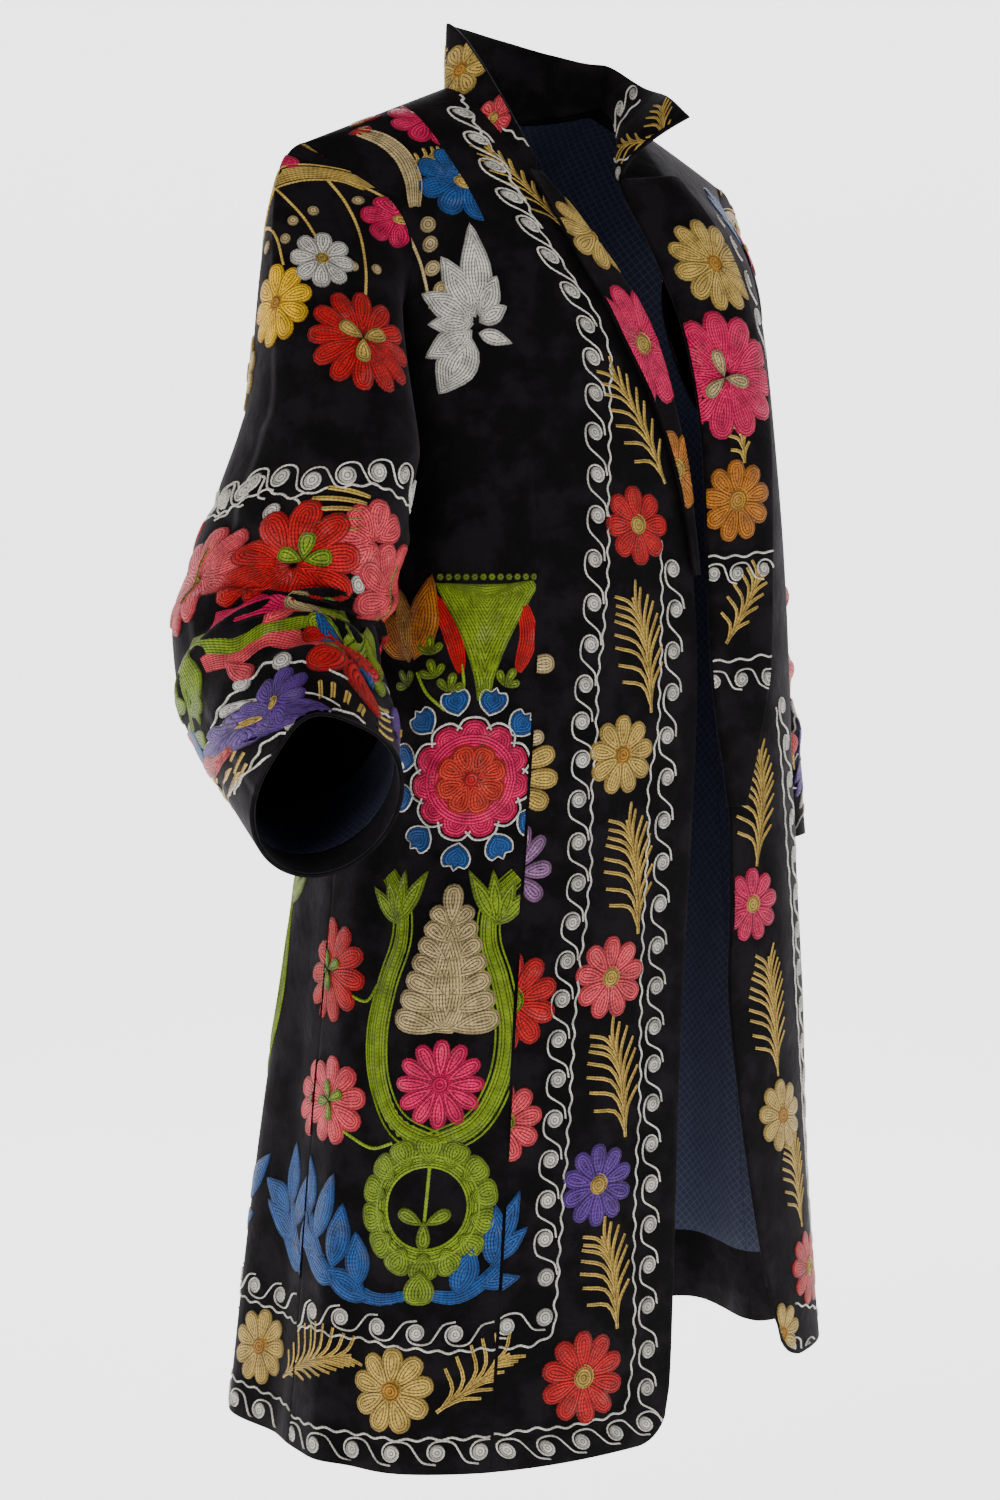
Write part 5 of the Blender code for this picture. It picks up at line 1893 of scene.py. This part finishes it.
            p.blade(Spot(base + 84, -474, -132), 44.0, 18.0, TAN, 5.0)
            p.blade(Spot(base - 30, -548, 30), 46.0, 26.0, BLUE, 4.0)
            work.layer = 0.5
            stem = ((14, -494), (40, -500), (70, -512), (98, -548))
            work.cord(foot, stem, 21.0, CORAL, Shape.CURL, (0.6, 0.6))
            p.petal(Spot(base + 64, -500, -74), 34.0, 19.0, CORAL)
            p.petal(Spot(base + 34, -500, -160), 30.0, 18.0, CORAL)
            work.layer = 0.9
            for a, b, turn in ((112, -548, 4), (110, -546, 36), (110, -546, -34), (110, -546, 178), (108, -548, 120)):
                p.petal(Spot(base + a, b, turn), 34.0, 22.0, RED)
            work.layer = 0.0

    def sleeve_cuff(self, p: Pattern, low: float) -> None:
        """The white rounds, purple flowers and gold strokes round the cuff."""
        work = p.work
        work.layer = 0.3
        p.ripple(shifted((
            (-20, -552), (19, -534), (51, -530), (70, -546), (92, -570), (140, -560), (240, -548), (340, -548),
            (442, -552),
        ), 0.0, low))
        for base in (0.0, 118.0, 236.0, 350.0):
            p.coin(Spot(base + 66, -542 + low), 15.0, CREAM, base=0.3)
            p.coin(Spot(base + 36, -527 + low), 15.0, CREAM, base=0.3)
            work.layer = 0.6
            p.flower(Spot(base + 46, -566 + low, 0, 1.0, 0.8), 58, 8, PURPLE, GOLD, 0.16)
            work.layer = 0.2
            for a, b in ((12, -557), (10, -568), (7, -579), (4, -590), (1, -600)):
                work.cord(Spot(base, low), ((a - 11, b - 4), (a + 7, b + 2)), 4.6, GOLD, Shape.SHORT)
            for a, b in ((78, -586), (86, -590), (94, -594), (102, -596)):
                work.cord(Spot(base, low), ((a - 3, b - 8), (a + 2, b + 8)), 4.2, GOLD, Shape.SHORT)
            p.coin(Spot(base + 50, -592 + low), 12.0, CREAM, base=0.2)
        p.ripple(shifted((
            (-20, -606), (13, -602), (34, -588), (52, -600), (66, -606), (90, -612), (140, -608), (240, -604),
            (340, -604), (442, -606),
        ), 0.0, low))
        work.layer = 0.0

    def draw(self) -> list[Needlework]:
        """Draws every panel.

        Returns:
            The needlework of all panels.
        """
        self.right_border()
        self.right_side()
        self.left_border()
        self.left_side()
        self.back()
        self.collar()
        self.lapels()
        self.sleeve("right", self.coat.sleeve_right, 0.0)
        self.sleeve("left", self.coat.sleeve_left, self.left_cuff)
        return self.made


# Materials

Value = "Sock | float | tuple[float, ...]"  # what a socket takes


class Sock:
    """A value inside a material, which takes part in sums like a number."""

    def __init__(self, shader: "Shader", socket: bpy.types.NodeSocket) -> None:
        """Keeps the material and the socket."""
        self.shader = shader
        self.socket = socket

    def __add__(self, other: Value) -> "Sock":
        """The sum."""
        return self.shader.sum("ADD", self, other)

    __radd__ = __add__

    def __mul__(self, other: Value) -> "Sock":
        """The product."""
        return self.shader.sum("MULTIPLY", self, other)

    __rmul__ = __mul__

    def __sub__(self, other: Value) -> "Sock":
        """The difference."""
        return self.shader.sum("SUBTRACT", self, other)

    def __rsub__(self, other: Value) -> "Sock":
        """The other value less this one."""
        return self.shader.sum("SUBTRACT", other, self)

    def __truediv__(self, other: Value) -> "Sock":
        """The quotient."""
        return self.shader.sum("DIVIDE", self, other)

    def __pow__(self, other: Value) -> "Sock":
        """The power."""
        return self.shader.sum("POWER", self, other)


class Shader:
    """One material's nodes and its finish."""

    def __init__(self, name: str, roughness: float, sheen: float, tint: Colour) -> None:
        """Starts a cloth's material.

        Args:
            name: The material's name.
            roughness: How rough it is.
            sheen: How strong its nap shines at a glancing angle.
            tint: The colour of that shine.
        """
        self.material = bpy.data.materials.new(name)
        self.material.use_nodes = True
        self.tree = self.material.node_tree
        self.base = self.tree.nodes["Principled BSDF"]
        self.base.inputs["Roughness"].default_value = roughness
        self.base.inputs["Sheen Weight"].default_value = sheen
        self.base.inputs["Sheen Roughness"].default_value = 0.35
        self.base.inputs["Sheen Tint"].default_value = (*tint, 1.0)
        self.base.inputs["Specular IOR Level"].default_value = 0.25

    def feed(self, target: bpy.types.NodeSocket, value: Value) -> None:
        """Links a value to a socket, or sets it there."""
        if isinstance(value, Sock):
            self.tree.links.new(value.socket, target)
        elif isinstance(value, tuple) and target.type == "RGBA":
            target.default_value = (*value, 1.0)
        else:
            target.default_value = value

    def node(
        self, kind: str, settings: dict[str, object], inputs: dict[str | int, Value], output: str | int = 0
    ) -> Sock:
        """Adds a node.

        Args:
            kind: Its type.
            settings: Its own settings.
            inputs: Values or links for its inputs.
            output: Which output is wanted.

        Returns:
            The output.
        """
        made = self.tree.nodes.new(kind)
        for key, value in settings.items():
            setattr(made, key, value)
        for key, value in inputs.items():
            self.feed(made.inputs[key], value)
        return Sock(self, made.outputs[output])

    def sum(self, kind: str, one: Value, two: Value = 0.0) -> Sock:
        """A math node on one or two values."""
        return self.node("ShaderNodeMath", {"operation": kind}, {0: one, 1: two})

    def mix(self, share: Value, one: Value, two: Value, kind: str = "MIX") -> Sock:
        """Two colours mixed."""
        settings = {"data_type": "RGBA", "blend_type": kind}
        return self.node("ShaderNodeMix", settings, {0: share, 6: one, 7: two}, 2)

    def place(self) -> Sock:
        """Where a point is on the object, in metres."""
        return self.node("ShaderNodeTexCoord", {}, {}, "Object")

    def flat(self, name: str) -> tuple[Sock, Sock]:
        """A point's two measures on a flat map of the piece."""
        uv = self.node("ShaderNodeUVMap", {"uv_map": name}, {})
        x = self.node("ShaderNodeSeparateXYZ", {}, {0: uv}, 0)
        y = self.node("ShaderNodeSeparateXYZ", {}, {0: uv}, 1)
        return x, y

    def noise(self, scale: float, detail: float = 3.0, rough: float = 0.55, where: Sock | None = None) -> Sock:
        """Noise from 0 to 1 over the object."""
        inputs = {"Vector": where or self.place(), "Scale": scale, "Detail": detail, "Roughness": rough}
        return self.node("ShaderNodeTexNoise", {}, inputs)

    def step(self, value: Value, low: float, high: float, start: float = 0.0, end: float = 1.0) -> Sock:
        """A value taken smoothly from one range to another."""
        inputs = {0: value, 1: low, 2: high, 3: start, 4: end}
        return self.node("ShaderNodeMapRange", {"interpolation_type": "SMOOTHSTEP"}, inputs)

    def bump(self, height: Sock, distance: float, strength: float = 1.0, under: Sock | None = None) -> Sock:
        """A relief on top of another one."""
        inputs: dict[str | int, Value] = {"Height": height, "Distance": distance, "Strength": strength}
        if under:
            inputs["Normal"] = under
        return self.node("ShaderNodeBump", {}, inputs)

    def finish(self, colour: Value, roughness: Value, normal: Sock) -> bpy.types.Material:
        """Links the finish's colour, roughness and relief."""
        self.feed(self.base.inputs["Base Color"], colour)
        self.feed(self.base.inputs["Roughness"], roughness)
        self.feed(self.base.inputs["Normal"], normal)
        return self.material


@dataclass(frozen=True)
class VelvetFinish:
    """Black silk velvet with a soft, slightly crushed nap."""

    deep: Colour = (0.0016, 0.0012, 0.0016)
    worn: Colour = (0.0052, 0.0040, 0.0050)
    shine: Colour = (0.40, 0.34, 0.40)

    def build(self) -> bpy.types.Material:
        """The material."""
        s = Shader("velvet cloth", 0.82, 0.11, self.shine)
        s.base.inputs["Specular IOR Level"].default_value = 0.06
        crushed = s.step(s.noise(34.0, 4.0, 0.6), 0.38, 0.66)
        nap = s.noise(900.0, 2.0, 0.5)
        fibre = s.noise(2600.0, 1.0, 0.5)
        share = crushed * 0.45 + nap * 0.35 + fibre * 0.2
        colour = s.mix(s.step(share, 0.25, 0.8), self.deep, self.worn)
        rough = crushed * -0.10 + nap * 0.08 + 0.80
        crumple = s.bump(s.noise(26.0, 3.0, 0.5), 0.006, 0.35)
        soft = s.bump(s.noise(120.0, 3.0, 0.6), 0.0012, 0.35, crumple)
        return s.finish(colour, rough, s.bump(nap, 0.0005, 0.6, soft))


@dataclass(frozen=True)
class SilkFinish:
    """Silk chain stitch: rows of links with painted shade between the rows and the links, coloured by the thread."""

    row: float = STITCH_ROW * MM
    link: float = 2.9 * MM

    def build(self) -> bpy.types.Material:
        """The material."""
        s = Shader("silk stitch", 0.5, 0.02, (0.9, 0.88, 0.85))
        s.base.inputs["Specular IOR Level"].default_value = 0.16
        along, across = s.flat("stitch")
        row = across / self.row
        lane = s.sum("FRACT", row) - 0.5
        ridge = s.sum("SINE", row * math.pi)
        ridge = s.sum("ABSOLUTE", ridge)
        chevron = s.sum("ABSOLUTE", lane) * 1.1
        jitter = s.noise(420.0, 1.0) * 0.5
        links = s.sum("ABSOLUTE", s.sum("SINE", (along / self.link + chevron + jitter) * math.pi))
        stitch = (ridge**0.7) * (links * 0.55 + 0.45)
        silk = s.node("ShaderNodeAttribute", {"attribute_name": "silk"}, {}, "Color")
        patch = s.noise(95.0, 3.0, 0.6)
        fleck = s.noise(1500.0, 2.0)
        # painted shade: brightness follows the stitch relief, darkest between the rows and between the links, times
        # random tone of the silk
        light = s.step(stitch, 0.12, 0.72, 0.10, 1.08) * (patch * 0.60 + 0.70) * (fleck * 0.45 + 0.78)
        # painted shade at the rim: darker within 3 mm of a filled form's outline; the second factor is random tone
        light = light * s.step(across, 0.0, 0.0030, 0.30, 1.0) * s.step(patch, 0.30, 0.62, 0.72, 1.06)
        shade_and_tone = s.node("ShaderNodeCombineXYZ", {}, {0: light, 1: light, 2: light})
        worn = s.mix(s.step(s.noise(60.0, 3.0), 0.55, 0.75) * 0.12, silk, (0.30, 0.26, 0.22))
        colour = s.mix(1.0, worn, shade_and_tone, "MULTIPLY")
        rough = 0.56 - stitch * 0.14
        fine = s.bump(fleck, 0.0003, 0.3)
        return s.finish(colour, rough, s.bump(stitch, 0.0009, 0.9, fine))


@dataclass(frozen=True)
class LiningFinish:
    """Navy cotton with a small woven diamond."""

    ground: Colour = (0.0045, 0.0060, 0.0200)
    figure: Colour = (0.0240, 0.0300, 0.0620)
    pitch: float = 0.0075

    def build(self) -> bpy.types.Material:
        """The material."""
        s = Shader("lining cloth", 0.72, 0.08, (0.5, 0.5, 0.6))
        a, b = s.flat("flat")
        one = s.sum("ABSOLUTE", s.sum("SINE", (a + b) * (math.pi / self.pitch)))
        two = s.sum("ABSOLUTE", s.sum("SINE", (a - b) * (math.pi / self.pitch)))
        check = s.step(s.sum("MINIMUM", one, two), 0.10, 0.34)
        yarn = s.sum("SINE", a * 9000.0) * s.sum("SINE", b * 9000.0)
        mottle = s.noise(140.0, 3.0)
        colour = s.mix(check * 0.8 + mottle * 0.2, self.figure, self.ground)
        crease = s.bump(s.noise(30.0, 3.0), 0.004, 0.3)
        return s.finish(colour, mottle * 0.16 + 0.66, s.bump(yarn, 0.0002, 0.4, crease))


@dataclass(frozen=True)
class FacingFinish:
    """Plain dark velveteen inside the edges."""

    ground: Colour = (0.0030, 0.0026, 0.0034)
    worn: Colour = (0.0090, 0.0075, 0.0090)

    def build(self) -> bpy.types.Material:
        """The material."""
        s = Shader("facing cloth", 0.85, 0.05, (0.4, 0.36, 0.42))
        s.base.inputs["Specular IOR Level"].default_value = 0.08
        rub = s.step(s.noise(48.0, 4.0, 0.6), 0.4, 0.7)
        nap = s.noise(1100.0, 2.0)
        a, b = s.flat("flat")
        twill = s.sum("SINE", (a * 0.6 + b) * 5200.0)
        colour = s.mix(rub * 0.6 + nap * 0.4, self.ground, self.worn)
        return s.finish(colour, rub * -0.08 + 0.86, s.bump(nap + twill * 0.2, 0.0004, 0.5))


# The room


@dataclass(frozen=True)
class Lamp:
    """One soft light."""

    name: str
    place: Place
    size: float
    power: float
    colour: Colour = (1.0, 1.0, 1.0)


@dataclass(frozen=True)
class Studio:
    """The camera, the soft lights and the pale floor that curves up behind."""

    lens: float = 63.1
    sensor: float = 36.0
    distance: float = 2.0
    eye: float = -0.33
    azimuth: float = 40.0
    yaw: float = 24.0 / 2630.0
    pitch: float = 5.0
    floor: float = -1.40
    glow: float = 2.2
    haze: float = 0.28
    aim: Place = (0.0, 0.0, -0.45)
    near: float = -4.0
    flat_to: float = 2.2
    curve: float = 2.0
    end: float = 6.2
    half_wide: float = 9.0
    climb: float = 4.0
    grid: tuple[int, int] = (49, 25)
    lamps: tuple[Lamp, ...] = (
        Lamp("key", (-2.9, -1.5, 1.9), 1.5, 95.0, (1.0, 0.98, 0.95)),
        Lamp("fill", (1.7, -3.0, 0.9), 2.0, 26.0, (0.96, 0.98, 1.0)),
        Lamp("rim", (1.6, 1.9, 1.5), 1.2, 40.0, (1.0, 1.0, 1.0)),
    )

    def build(self) -> None:
        """Makes the whole room."""
        self.camera()
        self.backdrop()
        self.lights()

    def ways(self) -> tuple[Array, Array]:
        """The level ways into the picture and to its right."""
        a = math.radians(self.azimuth)
        return np.array([math.sin(a), math.cos(a), 0.0]), np.array([math.cos(a), -math.sin(a), 0.0])

    def camera(self) -> None:
        """The camera, at the photograph's place."""
        along, across = self.ways()
        level = along * math.cos(self.yaw) - across * math.sin(self.yaw)
        right = np.array([level[1], -level[0], 0.0])
        p = math.radians(self.pitch)
        forward = level * math.cos(p) - np.array([0.0, 0.0, 1.0]) * math.sin(p)
        up = np.cross(right, forward)
        data = bpy.data.cameras.new("photo camera")
        data.lens = self.lens
        data.sensor_width = self.sensor
        data.sensor_fit = "AUTO"
        data.clip_start = 0.05
        data.clip_end = 60.0
        camera = placed("photo camera", data)
        turn = np.stack([right, up, -forward], axis=1)
        camera.matrix_world = mathutils.Matrix(
            [[*turn[k], place] for k, place in enumerate(-along * self.distance + [0.0, 0.0, self.eye])]
            + [[0.0, 0.0, 0.0, 1.0]]
        )
        bpy.context.scene.camera = camera

    def backdrop(self) -> None:
        """A floor that curves up into a wall behind, seen from the camera."""
        along, across = self.ways()
        mesh, row, column = grid_mesh("backdrop", self.grid)
        run = np.linspace(self.near, self.end, self.grid[0])[row]
        wide = np.linspace(-self.half_wide, self.half_wide, self.grid[1])[column]
        bend = np.clip((run - self.flat_to) / self.curve, 0.0, math.pi / 2)
        depth = np.where(run < self.flat_to, run, self.flat_to + self.curve * np.sin(bend))
        rise = self.curve * (1 - np.cos(bend))
        rise = rise + np.maximum(run - self.flat_to - self.curve * math.pi / 2, 0.0) * self.climb
        co = along * depth[:, None] + across * wide[:, None]
        co[:, 2] = self.floor + rise
        mesh.vertices.foreach_set("co", co.ravel())
        bm = bmesh.new()
        bm.from_mesh(mesh)
        bmesh.ops.recalc_face_normals(bm, faces=bm.faces[:])
        low = min(bm.faces, key=lambda face: face.calc_center_median().z)
        if low.normal.z < 0:
            bmesh.ops.reverse_faces(bm, faces=bm.faces[:])
        bm.to_mesh(mesh)
        bm.free()
        mesh.shade_smooth()
        s = Shader("paper", 0.9, 0.0, (1.0, 1.0, 1.0))
        tone = s.mix(s.noise(3.0, 3.0), (0.80, 0.80, 0.80), (0.84, 0.84, 0.835))
        s.base.inputs["Emission Color"].default_value = (1.0, 1.0, 1.0, 1.0)
        s.base.inputs["Emission Strength"].default_value = self.glow
        mesh.materials.append(s.finish(tone, 0.9, s.bump(s.noise(700.0, 2.0), 0.0002, 0.2)))
        placed("backdrop", mesh)

    def lights(self) -> None:
        """The soft lights and the pale surroundings."""
        target = mathutils.Vector(self.aim)
        for lamp in self.lamps:
            data = bpy.data.lights.new(lamp.name, "AREA")
            data.shape = "DISK"
            data.size = lamp.size
            data.energy = lamp.power
            data.color = lamp.colour
            light = placed(lamp.name, data)
            light.location = lamp.place
            light.rotation_euler = (target - light.location).to_track_quat("-Z", "Y").to_euler()
        world = bpy.data.worlds.new("pale room")
        world.use_nodes = True
        ground = world.node_tree.nodes["Background"]
        ground.inputs["Color"].default_value = (0.95, 0.96, 0.98, 1.0)
        ground.inputs["Strength"].default_value = self.haze
        bpy.context.scene.world = world


# The coat


@dataclass
class Wardrobe:
    """Makes each sewn piece in place of its frame node, with its finish and its cut."""

    velvet: bpy.types.Material
    lining: bpy.types.Material
    facing: bpy.types.Material
    silk: bpy.types.Material
    least_filled: float = 0.3

    def dress(
        self,
        node: str,
        cloth: Cloth,
        finish: bpy.types.Material,
        thickness: float = VELVET_THICK,
        depth: float = 0.0,
        rests_on: Sequence[str] = (),
        held: str = "hung",
    ) -> None:
        """Makes the cloth that stands for a node.

        Args:
            node: The CAD node.
            cloth: Its grid.
            finish: Its material.
            thickness: How thick it is.
            depth: How far under the grid it lies.
            rests_on: What it is sewn to or lies on; not used.
            held: How it is held; not used.
        """
        piece = wall(f"cloth_{node}", cloth, thickness, depth)
        piece.data.materials.append(finish)
        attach(piece, "root")
        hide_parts(node)
        wide = float(np.ptp(cloth.across, axis=1).max())
        tall = float(np.ptp(cloth.up, axis=0).max())
        area = min(max(cloth.area(), self.least_filled * wide * tall), wide * tall)
        log.info(
            "cloth %s %.0f x %.0f mm, %.4f m2, %d faces", node, wide / MM, tall / MM, area, len(piece.data.polygons)
        )

    def stitch(self, work: Needlework) -> None:
        """Makes one panel's embroidery.

        Args:
            work: The needlework.
        """
        piece = work.sewn()
        piece.data.materials.append(self.silk)
        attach(piece, "root")
        log.info("stitches %s, %d faces", piece.name, len(piece.data.polygons))


@dataclass
class Coat:
    """The whole coat: its cloths, and what is sewn on them."""

    shop: Wardrobe
    right: Cloth = field(init=False)
    left: Cloth = field(init=False)
    back: Cloth = field(init=False)
    collar: Cloth = field(init=False)
    lapel_right: Cloth = field(init=False)
    lapel_left: Cloth = field(init=False)
    sleeve_right: Cloth = field(init=False)
    sleeve_left: Cloth = field(init=False)
    under: float = VELVET_THICK + LAYER_GAP
    facing: int = 16
    lining_rings: int = 34
    cuff_right: int = 167
    cuff_left: int = 165
    trim: int = 3
    left_lift: float = 0.027

    def __post_init__(self) -> None:
        """Works out every cloth's shape."""
        right = Front(-1, FRONT_RIGHT)
        left = Front(1, FRONT_LEFT, self.left_lift)
        back = Back()
        self.right = right.cloth()
        self.left = left.cloth()
        self.back = back.cloth()
        self.collar = Collar().cloth(self.right, self.back, self.left, back)
        self.lapel_right = Lapel(-1, FRONT_RIGHT, LAPEL_RIGHT).cloth()
        self.lapel_left = Lapel(1, FRONT_LEFT, LAPEL_LEFT).cloth()
        self.sleeve_right = Sleeve(-1, ARM_RIGHT, FOLDS_RIGHT, right, back).cloth()
        self.sleeve_left = Sleeve(1, ARM_LEFT, FOLDS_LEFT, left, back).cloth()

    def fronts(self) -> None:
        """The four front panels, their facings and their linings."""
        shop = self.shop
        for name, cloth, sign in (("right", self.right, -1.0), ("left", self.left, 1.0)):
            border = cloth.part(0, SEAM_COLUMN + 1, 0, sign)
            side = cloth.part(SEAM_COLUMN, None, 0, sign)
            shop.dress(f"front_{name}_side", side, shop.velvet, rests_on=["cloth_back"])
            shop.dress(f"front_{name}_border", border, shop.velvet, rests_on=["cloth_back"])
            facing = cloth.part(0, self.facing + 1, 0, sign)
            lining = cloth.part(self.facing, None, 0, sign)
            host = [f"cloth_front_{name}_border"]
            shop.dress(f"facing_{name}", self.trimmed(facing), shop.facing, LINING_THICK, self.under, host)
            shop.dress(f"lining_{name}", self.trimmed(lining), shop.lining, LINING_THICK, self.under, host)

    def trimmed(self, cloth: Cloth) -> Cloth:
        """The cloth short of the hem and the shoulder, as linings are."""
        kept = slice(self.trim, -self.trim)
        return Cloth(cloth.points[kept], cloth.normals[kept], cloth.guide, cloth.sign, cloth.level_row - self.trim)

    def backs(self) -> None:
        """The back and its lining."""
        shop = self.shop
        shop.dress("back", self.back, shop.velvet, rests_on=["cloth_front_right_side"])
        lining = self.trimmed(self.back)
        shop.dress("lining_back", lining, shop.lining, LINING_THICK, self.under, ["cloth_back"])

    def neck(self) -> None:
        """The collar and the two lapels."""
        shop = self.shop
        shop.dress("collar", self.collar, shop.velvet, Collar.thickness, 0.0, ["cloth_back"], "folded")
        for name, cloth in (("right", self.lapel_right), ("left", self.lapel_left)):
            host = [f"cloth_front_{name}_border"]
            shop.dress(f"lapel_{name}", cloth, shop.velvet, Lapel.thickness, 0.0, host, "folded")

    def sleeves(self) -> None:
        """The sleeves, their cuff facings and their linings."""
        shop = self.shop
        for name, cloth, cuff in (
            ("right", self.sleeve_right, self.cuff_right), ("left", self.sleeve_left, self.cuff_left)
        ):
            host = [f"cloth_sleeve_{name}"]
            shop.dress(f"sleeve_{name}", cloth, shop.velvet, rests_on=["cloth_back"], held="gathered")
            facing = Cloth(cloth.points[cuff:], cloth.normals[cuff:], 0, 1.0, 0, closed=True)
            shop.dress(f"cuff_facing_{name}", facing, shop.facing, LINING_THICK, self.under, host)
            first = cuff - self.lining_rings
            lining = Cloth(cloth.points[first:cuff], cloth.normals[first:cuff], 0, 1.0, 0, closed=True)
            shop.dress(f"sleeve_lining_{name}", lining, shop.lining, LINING_THICK, self.under, host, "gathered")


def main() -> None:
    """Dresses the frame."""
    logging.basicConfig(level=logging.INFO, format="%(name)s: %(message)s")
    finishes = (VelvetFinish(), LiningFinish(), FacingFinish(), SilkFinish())
    shop = Wardrobe(*(finish.build() for finish in finishes))
    coat = Coat(shop)
    coat.fronts()
    coat.backs()
    coat.neck()
    coat.sleeves()
    for work in Garden(coat).draw():
        shop.stitch(work)
    Studio().build()


if __name__ == "__main__":
    main()
